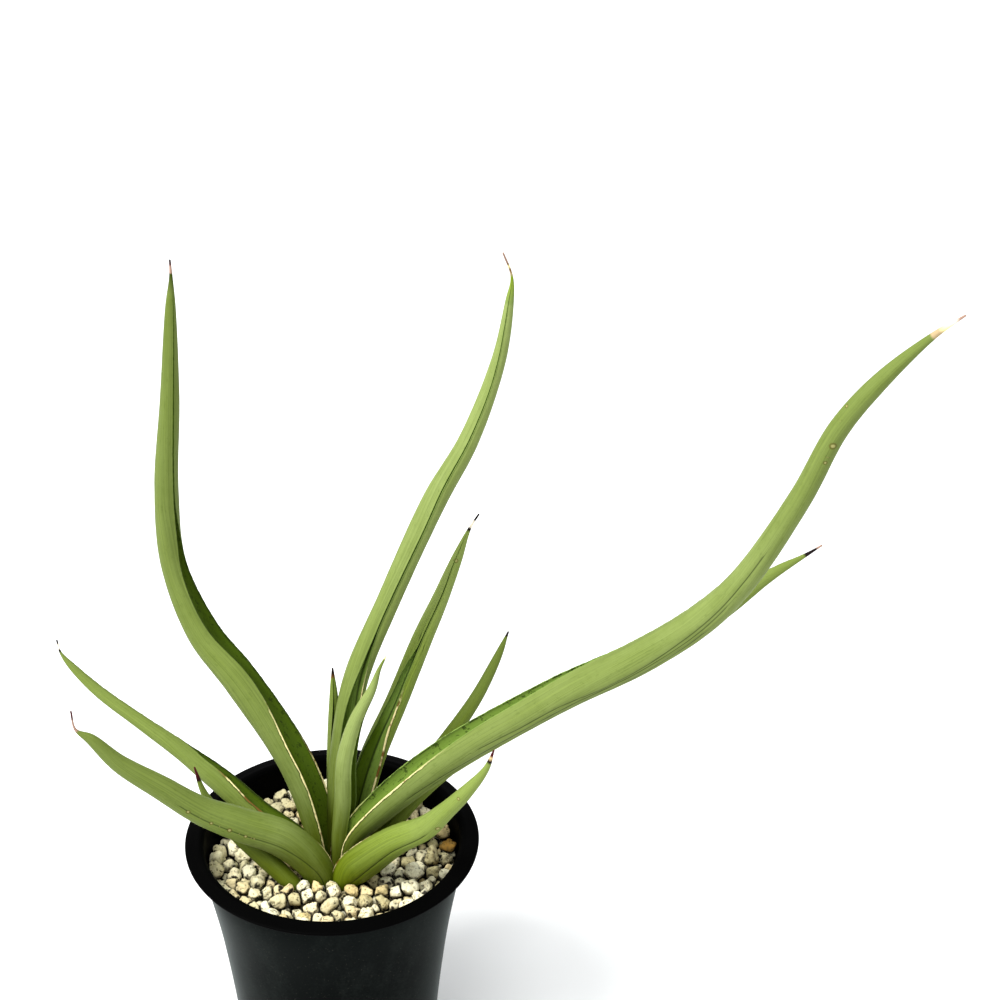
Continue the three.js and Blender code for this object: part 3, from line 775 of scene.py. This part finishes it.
def habits_on_points(leaf):
    """Wax, tone of the gutter and dryness of the margins, for every point of a leaf."""
    habit, section, share = leaf["habit"], leaf["section"], leaf["course"]["share"]
    plus_side = eased(section["cross"], -0.1, 0.1)
    minus, plus = (varying([[row[0], row[side]] for row in habit["gutter"]], share)[:, None]
                   for side in (1, 2))
    dry_minus, dry_plus, _ = habit["papery"]
    dry_until = np.where(section["angle"] + section["cross"] > 0, dry_plus, dry_minus)
    return {
        "wax": on_points(varying(habit["wax"], share)[:, None] + 0 * section["x"]),
        "gutter": on_points(minus + (plus - minus) * plus_side),
        "papery": on_points(np.clip((dry_until - share[:, None]) / DRY_BLUR + 0.5, 0, 1)),
    }


for leaf in LEAVES:
    leaf["habit"] = {**USUAL, **HABITS[leaf["name"]]}
    keep_on_points(leaf["piece"].data, habits_on_points(leaf))
print("habits stored on", len(LEAVES), "leaves")

# %% [markdown]
# Every pattern in the skin is one kind of noise, stretched more or less along the leaf: hairlines and
# ribs are drawn out more than a hundredfold, mottles and flecks two- or threefold. An `ease` between
# two values of a pattern makes it a mask, and the masks lay the coats in the order in which the plant
# gets them.

# %% Leaf skin
TIP_BLUR = 1.2  # mm over which the tip gives way to the leaf's own green
BASE_ENDS, BASE_RAGGED = (BURIED + 12, BURIED + 62), 30  # mm along a leaf where its bare base ends
GUTTER_CLOSES = 0.45, 0.7  # share of the length over which the painted shade in the groove, and the lips' green edge, fade
SKIN_NOISE = {  # bumps to a millimetre round the leaf, and along it; detail; roughness
    "streaks": (2.2, 0.016, 3, 0.6),
    "hairlines": (4.0, 0.02, 2, 0.6),
    "ribs": (1.3, 0.008, 2, 0.5),
    "clouds": (0.22, 0.05, 3, 0.55),
    "bands": (0.05, 0.28, 3, 0.6),
    "mottles": (0.9, 0.35, 4, 0.7),
    "flecks": (0.8, 0.35, 4, 0.75),
    "dashes": (0.3, 0.2, 4, 0.8),
    "ragged": (0.3, 0.3, 4, 0.75),
    "rusting": (0.3, 0.09, 3, 0.7),
}
SKIN_RELIEF = 0.07  # mm
SKIN_GLOSS = {"IOR": 1.4, "Specular IOR Level": 0.08}


def leaf_skin(leaf):
    habit, length = leaf["habit"], leaf["course"]["length"]
    finish = Finish(leaf["name"] + "_skin")
    vein = finish.stored("vein", "Vector")
    run = finish.axis(vein, 2)
    from_lip = finish.stored("from_lip")
    papery = finish.stored("papery")
    tone = finish.stored("gutter")
    streaks, hairlines, ribs, clouds, bands, mottles, flecks, dashes, ragged, rusting = (
        finish.noise(finish.stretched(vein, (around, around, along)), detail=detail, roughness=rough)
        for around, along, detail, rough in SKIN_NOISE.values())

    inside = finish.ease(from_lip, -0.25, 0.25, 1, 0)
    base = finish.ease(run + clouds * BASE_RAGGED, *BASE_ENDS, 1, 0)
    wax_lies = finish.ease(clouds + bands * 0.35 + streaks * 0.3, 0.4, 1.1)
    wax = finish.stored("wax") * (wax_lies * 0.4 + 0.65) * (1 - base * 0.9) * (1 - inside)
    open_gutter = finish.ease(run / length, *GUTTER_CLOSES, 1, 0.1)
    # painted shade and painted light: each wall of the gutter takes its stored tone, dark on a shaded wall
    # and pale on a lit one
    gutter = finish.coats(
        GUTTER_DARK,
        (tone, GUTTER_LIGHT),
        (tone - 1, GUTTER_PALE),
        # painted shade: a dark band inside the open gutter, just beside each lip
        (finish.ease(from_lip, -1.5, -0.3, 0, 0.55) * open_gutter, LINE))
    skin = finish.coats(
        FLESH_DARK,
        (finish.ease(streaks, 0.3, 0.68, 0.45, 1), mixed(habit["fresh"], FLESH, FRESH)),
        (base * 0.85, BASE),
        (wax, WAX),
        (inside * (0.92 - base * 0.2), gutter),
        (finish.ease(ribs, 0.5, 0.64) * 0.09, FLESH_DARK),
        (finish.ease(hairlines, 0.52, 0.66) * 0.25, FLESH_DARK),
        (finish.ease(mottles, 0.54, 0.72) * 0.22, FLESH_DARK),
        (finish.ease(flecks, 0.56, 0.61) * (0.02 + inside * (0.7 * habit["flecks"])), LINE))

    width = (ragged * 2.4 - 0.4) * habit["papery"][2]
    rust = finish.ease(rusting + ragged * 0.3, 0.64 - habit["rust"], 0.74 - habit["rust"])
    edge = finish.ease(abs(from_lip) - width, -0.12, 0.12, 1, 0) * papery
    green_edge = finish.ease(abs(from_lip + 0.1), 0.1, 0.45, 1, 0) * (1 - papery) * 0.65 * open_gutter
    beside = finish.ease(abs(abs(from_lip) - width - 0.2), 0.05, 0.3, 1, 0) * papery * 0.7
    dashed = finish.ease(dashes, 0.5, 0.56) * finish.ease(abs(from_lip + 0.45), 0.2, 0.5, 1, 0)
    skin = finish.coats(
        skin,
        (edge * 0.95, finish.coats(CREAM, (rust, RUST))),
        (green_edge, mixed(habit["pale_edge"], LINE, GUTTER_PALE)),
        (beside + dashed * (1 - papery) * habit["flecks"], LINE))

    if leaf["lines"]:
        pressed = sum(finish.ease(abs(finish.stored(f"line_{number}")) + streaks * 0.3, 0.12, 0.55, 1, 0)
                      for number in range(leaf["lines"]))
        skin = finish.coats(skin, (finish.ease(pressed, 0, 1) * 0.75, LINE))

    scar = finish.size(finish.stored("scar", "Vector")) + (ragged - 0.5) * 0.6
    tip_end = habit["tip"][-1][0]
    reach = tip_end + TIP_BLUR
    from_tip = length - run
    tip = finish.node("ShaderNodeValToRGB",
                      {"stops": [(place / reach, colour) for place, colour in habit["tip"]]},
                      {0: from_tip / reach})
    skin = finish.coats(
        skin,
        (finish.ease(scar, 0.75, 1.05, 0.6, 0), SCAR_RIM),
        (finish.ease(scar, 0.3, 0.6, 0.8, 0), SCAR_PALE),
        (finish.ease(from_tip + ragged * TIP_BLUR, tip_end, reach, 1, 0), tip))

    roughness = 0.5 - wax * 0.05 + finish.ease(streaks, 0.3, 0.7) * 0.08
    relief = streaks * 0.5 + hairlines * 0.25 + finish.ease(scar, 0.6, 1.3, 0.6, 0)
    return finish.end(finish.surface(skin, roughness, relief, SKIN_RELIEF, **SKIN_GLOSS))


for leaf in LEAVES:
    dress(leaf["piece"], leaf_skin(leaf))
    declare(leaf["piece"], leaf["name"])
print("leaf skins:", len(LEAVES))

# %% [markdown]
# ## The pot
#
# A nursery pot is moulded from black polypropylene: a thin tapering wall, and a rim that rolls
# outwards and droops. It is a turned form, so it is made by turning its outline, finely enough that
# no corner shows. The drain holes are cut afterwards.

# %% Pot outline
RIM_RADIUS, RIM_HEIGHT = 54.0, 100.0
FOOT_RADIUS, FOOT_RING = 36.0, 5.0
WALL = 1.4
PAD_RADIUS, UNDERSIDE, FLOOR_TOP = 12.0, 2.0, 4.0
AXIS = 0.01  # radius of an outline's ends, next to the axis
FLARE_KNOTS = [(36, 0), (38.4, 29), (42.5, 62), (47.2, 88), (48.4, 97)]
FLARE_STEPS, FLANGE_STEPS = 12, 5
FLANGE = [(-5.4, -0.7), (-1.3, -0.7), (-0.3, -0.6), (0, -0.1), (-0.2, 0.4), (-1.5, 0.8), (-3.5, 1.2),
          (-5, 1.5), (-6.1, 1.2), (-6.9, 0.3)]


def even_spline(knots, steps):
    """A curve through knots that starts and ends on them."""
    points = np.array([knots[0], *knots, knots[-1]], float)
    pieces = [bend(start, end, (end - before) / 2, (after - start) / 2, steps)
              for before, start, end, after in zip(points, points[1:], points[2:], points[3:])]
    return np.vstack([*pieces, points[-2]])


flare = even_spline(FLARE_KNOTS, FLARE_STEPS)


def wall_radius(height):
    return np.interp(height, flare[:, 1], flare[:, 0])


def pot_outline():
    ring_inside = FOOT_RADIUS - FOOT_RING
    under = [(AXIS, 0), (PAD_RADIUS, 0), (PAD_RADIUS, UNDERSIDE), (ring_inside, UNDERSIDE),
             (ring_inside, 0)]
    flange = even_spline([(RIM_RADIUS + out, RIM_HEIGHT + up) for out, up in FLANGE], FLANGE_STEPS)
    inside = [(r - WALL, z) for r, z in flare[::-1] if z > FLOOR_TOP + 1]
    floor = [(float(wall_radius(FLOOR_TOP)) - WALL, FLOOR_TOP), (AXIS, FLOOR_TOP)]
    return np.array([*under, *flare, *flange, *inside, *floor])


print("pot outline:", len(pot_outline()), "points")

# %% Turn and drill the pot
POT_SIDES, PIN_SIDES = 192, 24
DRAINS, DRAIN_RADIUS, DRAIN_RING = 8, 3.0, 21.5


def turned(outline, sides):
    """Corners and quads of an outline of (radius, height) turned about the upright axis."""
    angle = np.linspace(0, 2 * math.pi, sides, endpoint=False)
    corners = np.stack([outline[:, :1] * np.cos(angle), outline[:, :1] * np.sin(angle),
                        outline[:, 1:] + 0 * angle], axis=-1)
    return corners.reshape(-1, 3), net_faces(len(outline), sides)


def drill(piece, cutter):
    cut = piece.modifiers.new("drains", "BOOLEAN")
    cut.operation = "DIFFERENCE"
    cut.solver = "EXACT"
    cut.object = cutter
    bpy.context.view_layer.objects.active = piece
    bpy.ops.object.modifier_apply(modifier=cut.name)
    bpy.data.objects.remove(cutter)


def drain_pins():
    """One mesh of eight upright pins, through the floor and clear of it on both sides."""
    low, high = -FLOOR_TOP, 3 * FLOOR_TOP
    corners, quads = turned(np.array([(AXIS, low), (DRAIN_RADIUS, low), (DRAIN_RADIUS, high),
                                      (AXIS, high)]), PIN_SIDES)
    spots = [(DRAIN_RING * math.cos(a), DRAIN_RING * math.sin(a), 0)
             for a in np.arange(DRAINS) * 2 * math.pi / DRAINS]
    return piece_from("drain_pins", np.vstack([corners + spot for spot in spots]),
                      np.vstack([quads + number * len(corners) for number in range(DRAINS)]))


pot = piece_from("pot_body", *turned(pot_outline(), POT_SIDES))
drill(pot, drain_pins())
print("pot:", len(pot.data.polygons), "faces")

# %% [markdown]
# Black plastic is hardly black: its moulded skin is matt, its shoulders pick up a cool bloom, and dust
# stays in the grain. The bloom is sheen, and only the outside of the wall has it; the shoulders are also
# painted lighter towards the rim, a painted reflection of the white floor. The inside and the rim stay
# nearly black, so two shaders meet along the middle of the wall, just under the rim.

# %% Pot plastic
PLASTIC = {"IOR": 1.49, "Specular IOR Level": 0.01}
BLOOM = {"Sheen Weight": 0.22, "Sheen Roughness": 0.28, "Sheen Tint": (0.9, 1.0, 0.97, 1.0)}
PLASTIC_RELIEF = 0.02  # mm
WALL_LEAN, WALL_CURVE = 0.0609, 0.754  # the flare as lean * height + curve * height ** 2, in metres
UNDER_RIM = 0.0965, 0.0975  # metres of height between which the one shader gives way to the other


def pot_plastic():
    finish = Finish("pot_plastic")
    place = finish.place()
    grain = finish.noise(place, scale=900, detail=3, roughness=0.6)
    smears = finish.noise(finish.stretched(place, (1, 1, 0.35)), scale=38, detail=4, roughness=0.62)
    dust = finish.ease(finish.noise(place, scale=1500, detail=2), 0.66, 0.74)
    height = finish.axis(place, 2)
    out = finish.size(finish.stretched(place, (1, 1, 0)))
    mid_wall = height * WALL_LEAN + height * height * WALL_CURVE + (FOOT_RADIUS - WALL / 2) * MM
    outside = finish.ease(height, *UNDER_RIM, 1, 0) * finish.ease(out - mid_wall, -0.0002, 0.0002)
    roughness = 0.5 + finish.ease(smears, 0.3, 0.75) * 0.12 + dust * 0.2
    rim = finish.coats(paint(1, 1, 1), (smears, paint(3, 3, 3)))
    body = finish.coats(
        paint(1, 2, 2),
        (smears, paint(3, 6, 5)),
        # painted reflection: lighter towards the rim, where the flare faces down to the white floor
        (finish.ease(height, 0.06, 0.1) * 0.3, paint(22, 27, 26)),
        (finish.ease(smears + grain * 0.3, 0.62, 0.8) * 0.3, paint(30, 34, 32)),
        (dust * 0.07, paint(150, 146, 134)))
    rim = finish.surface(rim, roughness, grain, PLASTIC_RELIEF, **PLASTIC)
    body = finish.surface(body, roughness, grain, PLASTIC_RELIEF, **PLASTIC, **BLOOM)
    return finish.end(finish.node("ShaderNodeMixShader", {}, {0: outside, 1: rim, 2: body}))


dress(pot, pot_plastic())
declare(pot, "pot")
print("pot finish:", pot.data.materials[0].name)

# %% [markdown]
# ## The grit
#
# Pumice is sold sieved to 5 or 6 mm: broken, tumbled lumps of frozen foam, cream to tan, full of
# pores. A displaced surface would look like one crust, so every grain here is a body of its own. They
# are dropped into the pot as balls that push each other, the wall and the leaves aside, until they
# rest in two or so layers. Then each ball swells into a lumpy grain that stops short of the planes
# halfway to its neighbours, which gives the flats and corners that lie against each other.

# %% Drop the grains
GRAINS = 980
GRAIN_SMALL, GRAIN_LARGE = 1.15, 3.1  # radii, mm
SMALL_BIAS = 1.15  # above 1 small grains outnumber large ones
DROP_REACH, DROP_HEIGHTS = 44, (84, 112)  # mm: where the grains start
SETTLING = 260  # steps
FALL = 0.35  # mm in the first step, and less in each one after it
FIRMNESS = 0.95  # share of its radius at which a grain pushes back
GRAIN_PUSH, LEAF_PUSH = 0.45, 0.9  # share of an overlap that one step undoes
LAID_ROOM, LOOSE_ROOM = 0.85, 0.6  # how near a loose grain may be to a laid one, in radii of each
GRIT_FLOOR, BACK_RISE = 80.0, 0.07  # mm, and how much the heap rises with each mm towards the back
BEDDING = 0.9  # height of the lowest grains' middles over the floor, in radii
HIGHEST_GRAIN = 93.0  # grains that end up above this roll off and are taken out
CROWN, CROWN_RADIUS = (3, 3), 11.0  # between the leaves no grain stands up
CROWN_TOP = SOIL_LINE - 3
STEM_TOP = SOIL_LINE + 16  # up to here the grains look out for the leaves
GRIT_SEED = 20

# Grains listed one by one: place, radius, and tone as (brightness, hue, spare), or None for any
ORANGE, WHITE = (1.0, 1.0, 0.5), (1.0, 0.0, 0.5)
LAID_GRAINS = [
    ((42.4, 6.4, 91.2), 2.3, ORANGE), ((29.5, -8.0, 91.0), 2.9, WHITE), ((-10, -17.2, 91.2), 2.6, None),
    ((-15.6, -18.6, 90.4), 2.3, None), ((-5, -17.4, 90.6), 2.2, None), ((-8.4, -21.2, 90.0), 2.4, None),
    ((-12.8, -22.2, 89.6), 2.2, None), ((-3.6, -21.0, 89.8), 2.1, None), ((1.2, -18.6, 90.2), 2.4, None),
]


def leaf_bases():
    """Balls along the buried and lowest parts of the leaves, which the grains must keep clear of."""
    places, radii = [], []
    for leaf in LEAVES:
        course = leaf["course"]
        low = course["middle"][:, 2] < STEM_TOP
        places.append(course["middle"][low][::2])
        radii.append(course["radius"][low][::2])
    return np.vstack(places), np.concatenate(radii)


def back_rise(places):
    return BACK_RISE * np.maximum(places[:, 1], 0)


def settle(random, stems, stem_radii):
    radii = GRAIN_SMALL + (GRAIN_LARGE - GRAIN_SMALL) * random.uniform(0, 1, GRAINS) ** SMALL_BIAS
    reach = DROP_REACH * np.sqrt(random.uniform(0, 1, GRAINS))
    way = random.uniform(0, 2 * math.pi, GRAINS)
    places = np.stack([reach * np.cos(way), reach * np.sin(way), random.uniform(*DROP_HEIGHTS, GRAINS)],
                      axis=1)
    sizes = np.concatenate([stem_radii, radii])
    itself = np.arange(GRAINS), len(stems) + np.arange(GRAINS)
    share = np.full((GRAINS, len(sizes)), GRAIN_PUSH)
    share[:, :len(stems)] = LEAF_PUSH
    for step in range(SETTLING):
        places[:, 2] -= FALL * (1 - step / SETTLING)
        apart = places[:, None, :] - np.vstack([stems, places])[None, :, :]
        distance = np.linalg.norm(apart, axis=-1) + 1e-6
        overlap = np.maximum(radii[:, None] * FIRMNESS + sizes[None, :] * FIRMNESS - distance, 0)
        overlap[itself] = 0
        places += np.sum(apart / distance[..., None] * (overlap * share)[..., None], axis=1)
        out = np.hypot(places[:, 0], places[:, 1])
        limit = wall_radius(places[:, 2]) - WALL - radii
        places[:, :2] *= np.minimum(1, limit / np.maximum(out, 1e-6))[:, None]
        places[:, 2] = np.maximum(places[:, 2], GRIT_FLOOR + back_rise(places) + radii * BEDDING)
    return places, radii


stems, stem_radii = leaf_bases()
grains, grain_radii = settle(np.random.default_rng(GRIT_SEED), stems, stem_radii)
in_crown = np.hypot(grains[:, 0] - CROWN[0], grains[:, 1] - CROWN[1]) < CROWN_RADIUS
stays = grains[:, 2] + grain_radii < np.where(in_crown, CROWN_TOP, HIGHEST_GRAIN + back_rise(grains))
for place, radius, _ in LAID_GRAINS:
    stays &= np.linalg.norm(grains - place, axis=1) > radius * LAID_ROOM + grain_radii * LOOSE_ROOM
laid_places, laid_radii, laid_tones = zip(*LAID_GRAINS)
grains = np.vstack([laid_places, grains[stays]])
grain_radii = np.concatenate([laid_radii, grain_radii[stays]])
tops = grains[:, 2] + grain_radii
print("grit:", len(grains), "grains, highest", round(tops.max(), 1), "mm, middle of the tops",
      round(float(np.median(tops)), 1), "mm")

# %% [markdown]
# A grain's outline in any direction is the shortest of three reaches: its own lumpy radius, the
# planes to its neighbours, and the wall. Taking them with a soft minimum rounds the edges, as
# tumbling does.

# %% Shape the grains
SWELLING = 1.42  # a grain's own reach, in radii of its ball, before anything stops it
GRAIN_GAP = 0.15  # mm left between a grain and the halfway plane
NEIGHBOURHOOD = 3.0  # mm between two skins up to which grains count as neighbours
LEAF_GAP = 0.6  # mm: the least that a leaf leaves a grain
SOFTNESS = 14  # power of the soft minimum: higher gives sharper edges
FINE_GRAINS = 300  # the largest of those that can be seen get the finer skin
LONG, SHORT = (1.1, 1.45), (0.65, 0.95)  # how far a grain is stretched one way and squeezed another
LUMP_WAVES = ((2.4, 0.1), (4.5, 0.06))  # waves over the grain, and their height in radii
FLATS, FLAT_REACH = 9, (0.58, 0.98)  # how many sides are knocked flat, and how far out, in radii
KNOB_WAVES = ((1.8, 0.34), (3.5, 0.32), (6.5, 0.22), (12.0, 0.12))
KNOB_DEPTH, KNOB_LEVEL = 0.3, 0.3  # share of the radius, and the crease depth that leaves it as it is
PITS, PIT_SIZES = (8, 22), (0.08, 0.2)  # how many, and their radii as angles
PIT_DEPTH = 0.14  # share of the radius
LOOSE_TONE = 0.95  # tones above it are kept for the listed grains
CREVICE_REACH = 0.3  # mm from a neighbour over which the painted shade of a crevice fades
BURIED_DEPTH = 5.0  # mm below the local surface at which a grain is out of sight, and near which the painted shade of depth is deepest
LOCAL_REACH, LOCAL_GRAINS = 7.5, 6  # mm, and how many grains make the local surface
EDGE_ON = 0.05  # a plane that a direction meets more edge-on than this doesn't stop it


def ball(subdivisions):
    """Directions and triangles of an even ball."""
    mesh = bpy.data.meshes.new("ball")
    net = bmesh.new()
    bmesh.ops.create_icosphere(net, subdivisions=subdivisions, radius=1.0)
    net.to_mesh(mesh)
    net.free()
    ways = np.array([vertex.co[:] for vertex in mesh.vertices])
    faces = np.array([face.vertices[:] for face in mesh.polygons])
    bpy.data.meshes.remove(mesh)
    return ways / np.linalg.norm(ways, axis=1)[:, None], faces


def soft_least(limits):
    """The least of several reaches, with its corners rounded off."""
    return np.sum(np.stack(limits, axis=1) ** -SOFTNESS, axis=1) ** (-1 / SOFTNESS)


def random_ways(random, count):
    ways = random.normal(size=(count, 3))
    return ways / np.linalg.norm(ways, axis=1)[:, None]


def ripples(ways, random, count, size):
    """Waves of one size that run over a ball in random directions."""
    waves = random.normal(size=(count, 3)) * size
    return np.sin(ways @ waves.T + random.uniform(0, 2 * math.pi, count))


def lumps(ways, random):
    """A broken outline about 1: stretched one way, waved, and knocked flat on several sides."""
    turn, _ = np.linalg.qr(random.normal(size=(3, 3)))
    lengths = np.array([random.uniform(*LONG), 1.0, random.uniform(*SHORT)])
    shape = 1 / np.linalg.norm((ways @ turn) / lengths, axis=1)
    for size, height in LUMP_WAVES:
        shape += height * ripples(ways, random, 6, size).sum(axis=1) / 2
    facets = random_ways(random, FLATS)
    flats = random.uniform(*FLAT_REACH, FLATS) / np.maximum(ways @ facets.T, 1e-3)
    return soft_least([shape, *flats.T])


def knobs(ways, random):
    """A knobbly skin: 0 on the knobs, towards 1 in the sharp creases between them."""
    return sum(height * (1 - np.abs(ripples(ways, random, 3, size)).min(axis=1)) ** 2
               for size, height in KNOB_WAVES)


def pits(ways, random):
    """Burst bubbles in the skin: 1 in the middle of a pit, 0 between the pits."""
    count = random.integers(*PITS)
    apart = np.arccos(np.clip(ways @ random_ways(random, count).T, -1, 1))
    return np.exp(-(apart / random.uniform(*PIT_SIZES, count)) ** 2).max(axis=1)


def facing_planes(number):
    """How far out, and which way, the planes lie that a grain must stop short of."""
    place, radius = grains[number], grain_radii[number]
    apart = np.delete(grains, number, axis=0) - place
    sizes = np.delete(grain_radii, number)
    distance = np.linalg.norm(apart, axis=1)
    near = distance < radius + sizes + NEIGHBOURHOOD
    halfway = (distance**2 + radius**2 - sizes**2) / (2 * distance) - GRAIN_GAP
    planes = list(zip(halfway[near], (apart / distance[:, None])[near]))
    to_stem = stems - place
    distance = np.linalg.norm(to_stem, axis=1)
    near = distance < radius + stem_radii + NEIGHBOURHOOD
    planes += zip(np.maximum(distance - stem_radii, LEAF_GAP)[near], (to_stem / distance[:, None])[near])
    out = math.hypot(place[0], place[1])
    to_wall = float(wall_radius(place[2])) - WALL - out - GRAIN_GAP
    return [*planes, (to_wall, np.array([place[0], place[1], 0]) / out)]


def shape_grain(number, ways, random):
    """Skin of a grain, how clear of its neighbours each point is in mm, and the depth of its pits."""
    reach = grain_radii[number] * SWELLING * lumps(ways, random)
    hollows, creases = pits(ways, random), knobs(ways, random)
    planes = facing_planes(number)
    limits = [np.where(ways @ way > EDGE_ON, gap / np.maximum(ways @ way, EDGE_ON), 99)
              for gap, way in planes]
    final = soft_least([reach, *limits]) * (1 - KNOB_DEPTH * (creases - KNOB_LEVEL))
    clear = np.min([gap - final * (ways @ way) for gap, way in planes], axis=0)
    skin = final - grain_radii[number] * PIT_DEPTH * hollows
    return grains[number] + ways * skin[:, None], clear, np.maximum(hollows, 1.5 * (creases - 0.6))


def local_top(number):
    """Height of the heap's surface around a grain."""
    apart = np.linalg.norm(grains[:, :2] - grains[number, :2], axis=1)
    return np.sort(tops[apart < LOCAL_REACH])[-LOCAL_GRAINS:].mean()


def grain_heap(name, numbers, subdivisions):
    ways, faces = ball(subdivisions)
    corners, triangles = [], []
    stored = {"tone": [], "crevice": [], "pit": [], "depth": [], "rise": []}
    for count, number in enumerate(numbers):
        random = np.random.default_rng(GRIT_SEED * 1000 + int(number))
        skin, clear, hollows = shape_grain(number, ways, random)
        corners.append(skin)
        triangles.append(faces + count * len(ways))
        laid_tone = laid_tones[number] if number < len(laid_tones) else None
        stored["tone"].append(np.tile(laid_tone or tuple(random.uniform(0, LOOSE_TONE, 3)), (len(ways), 1)))
        # height of each point within its grain, by which the finish paints the lower sides darker as
        # painted shade
        stored["rise"].append((skin[:, 2] - grains[number, 2]) / grain_radii[number])
        stored["crevice"].append(np.exp(-np.maximum(clear, 0) / CREVICE_REACH))
        stored["pit"].append(hollows)
        stored["depth"].append(local_top(number) - skin[:, 2])
    stored = {label: np.concatenate(values) for label, values in stored.items()}
    heap = piece_from(name, np.vstack(corners), np.vstack(triangles), stored)
    print(name, len(numbers), "grains,", len(heap.data.polygons), "triangles")
    return heap


shows = np.array([local_top(number) - tops[number] < BURIED_DEPTH for number in range(len(grains))])
largest_first = np.argsort(-grain_radii * shows)
fine, coarse = largest_first[:FINE_GRAINS], largest_first[FINE_GRAINS:]
by_side = fine[np.argsort(grains[fine, 0])]
heaps = [grain_heap(f"pumice_{side}", part, 4)
         for side, part in zip(("left", "middle", "right"), np.array_split(by_side, 3))]
heaps.append(grain_heap("pumice_small", coarse[shows[coarse]], 3))
heaps.append(grain_heap("pumice_buried", coarse[~shows[coarse]], 2))

# %% [markdown]
# Each grain has a tone of its own, from tan to cream, and one by the rim is rusty. Over it lie stains,
# the foam's fine pores, and painted shade: the pits, the creases between knobs, the crevices, the lower
# sides of each grain and the grains deep in the heap are painted darker, by the distances and heights
# that the shapes left on the points. The grains at the left are painted paler, as painted light.

# %% Pumice
PAINTED_LIGHT_SIDE = -0.03, -0.012  # metres across between which the painted light on the left-hand grains ends


def pumice():
    finish = Finish("pumice")
    place = finish.place()
    tone = finish.stored("tone", "Vector")
    brightness, hue = finish.axis(tone, 0), finish.axis(tone, 1)
    stain = finish.noise(place, scale=330, detail=4, roughness=0.6)
    foam = finish.noise(place, scale=1150, detail=4, roughness=0.7)
    pores = finish.ease(finish.noise(place, scale=760, detail=3, roughness=0.6), 0.6, 0.67)
    pit = finish.ease(finish.stored("pit") + (foam - 0.5) * 0.8, 0.45, 0.85)
    colour = finish.coats(
        paint(192, 182, 136),
        (finish.ease(brightness, 0, 1.0), paint(250, 245, 212)),
        (finish.ease(hue, 0.55, 0.9) * 0.6, paint(228, 200, 136)),
        (finish.ease(hue, 0.965, 0.975) * 0.95, paint(160, 116, 36)),
        (finish.ease(stain, 0.48, 0.7) * 0.4, paint(176, 150, 92)),
        (finish.ease(foam, 0.52, 0.7) * 0.55, paint(132, 110, 62)),
        # painted shade: the lower sides of each grain are darker
        (finish.ease(finish.stored("rise"), -0.5, 0.6, 0.8, 0), paint(104, 88, 50)),
        # painted light: the grains at the left are painted paler
        (finish.ease(finish.axis(place, 0), *PAINTED_LIGHT_SIDE, 0.35, 0), paint(255, 248, 206)),
        (pores * 0.75, paint(52, 42, 22)),
        # painted shade: the pits and the creases between knobs are painted darker
        (pit * 0.7, paint(60, 46, 22)),
        # painted shade: dark where a grain nearly touches its neighbours
        (finish.ease(finish.stored("crevice"), 0.1, 0.75) * 0.97, paint(9, 7, 4)),
        # painted shade: darker the deeper a point lies below the heap's surface
        (finish.ease(finish.stored("depth"), 2.6, BURIED_DEPTH + 0.6) * 0.9, paint(12, 9, 5)))
    relief = foam * 0.6 - pores * 0.5
    return finish.end(finish.surface(colour, 0.92, relief, 0.8, **{"Specular IOR Level": 0.2}))


grit_finish = pumice()
for heap in heaps:
    dress(heap, grit_finish)
    declare(heap, "pumice_grit")
print("heaps of grains:", len(heaps))

# %% [markdown]
# ## What the grit hides
#
# The potting mix and the rhizome are inside, and only show when the pot is taken apart, so their
# solids stay as they are and get finishes of their own: damp bark and coir for the mix, and a woody
# orange skin for the rhizome.

# %% Potting mix and rhizome
def potting_mix():
    finish = Finish("potting_mix")
    place = finish.place()
    crumbs = finish.noise(place, scale=260, detail=4, roughness=0.65)
    fibres = finish.noise(finish.stretched(place, (1, 1, 0.2)), scale=700, detail=3)
    colour = finish.coats(paint(38, 27, 19), (crumbs, paint(88, 64, 44)),
                          (finish.ease(fibres, 0.6, 0.72) * 0.6, paint(132, 100, 66)))
    relief = crumbs + fibres * 0.4
    return finish.end(finish.surface(colour, 0.95, relief, 1.2, **{"Specular IOR Level": 0.2}))


def rhizome_bark():
    finish = Finish("rhizome_bark")
    place = finish.place()
    rings = finish.noise(finish.stretched(place, (0.3, 0.3, 1)), scale=420, detail=3)
    patches = finish.noise(place, scale=90, detail=3)
    colour = finish.coats(paint(196, 138, 72), (patches, paint(150, 96, 50)),
                          (finish.ease(rings, 0.55, 0.7) * 0.5, paint(96, 62, 34)))
    return finish.end(finish.surface(colour, 0.7, rings, 0.5, **{"Specular IOR Level": 0.35}))


for node, make in (("potting_mix", potting_mix), ("rhizome", rhizome_bark)):
    dress(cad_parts[node], make())
    print(node, "wears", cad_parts[node].data.materials[0].name)
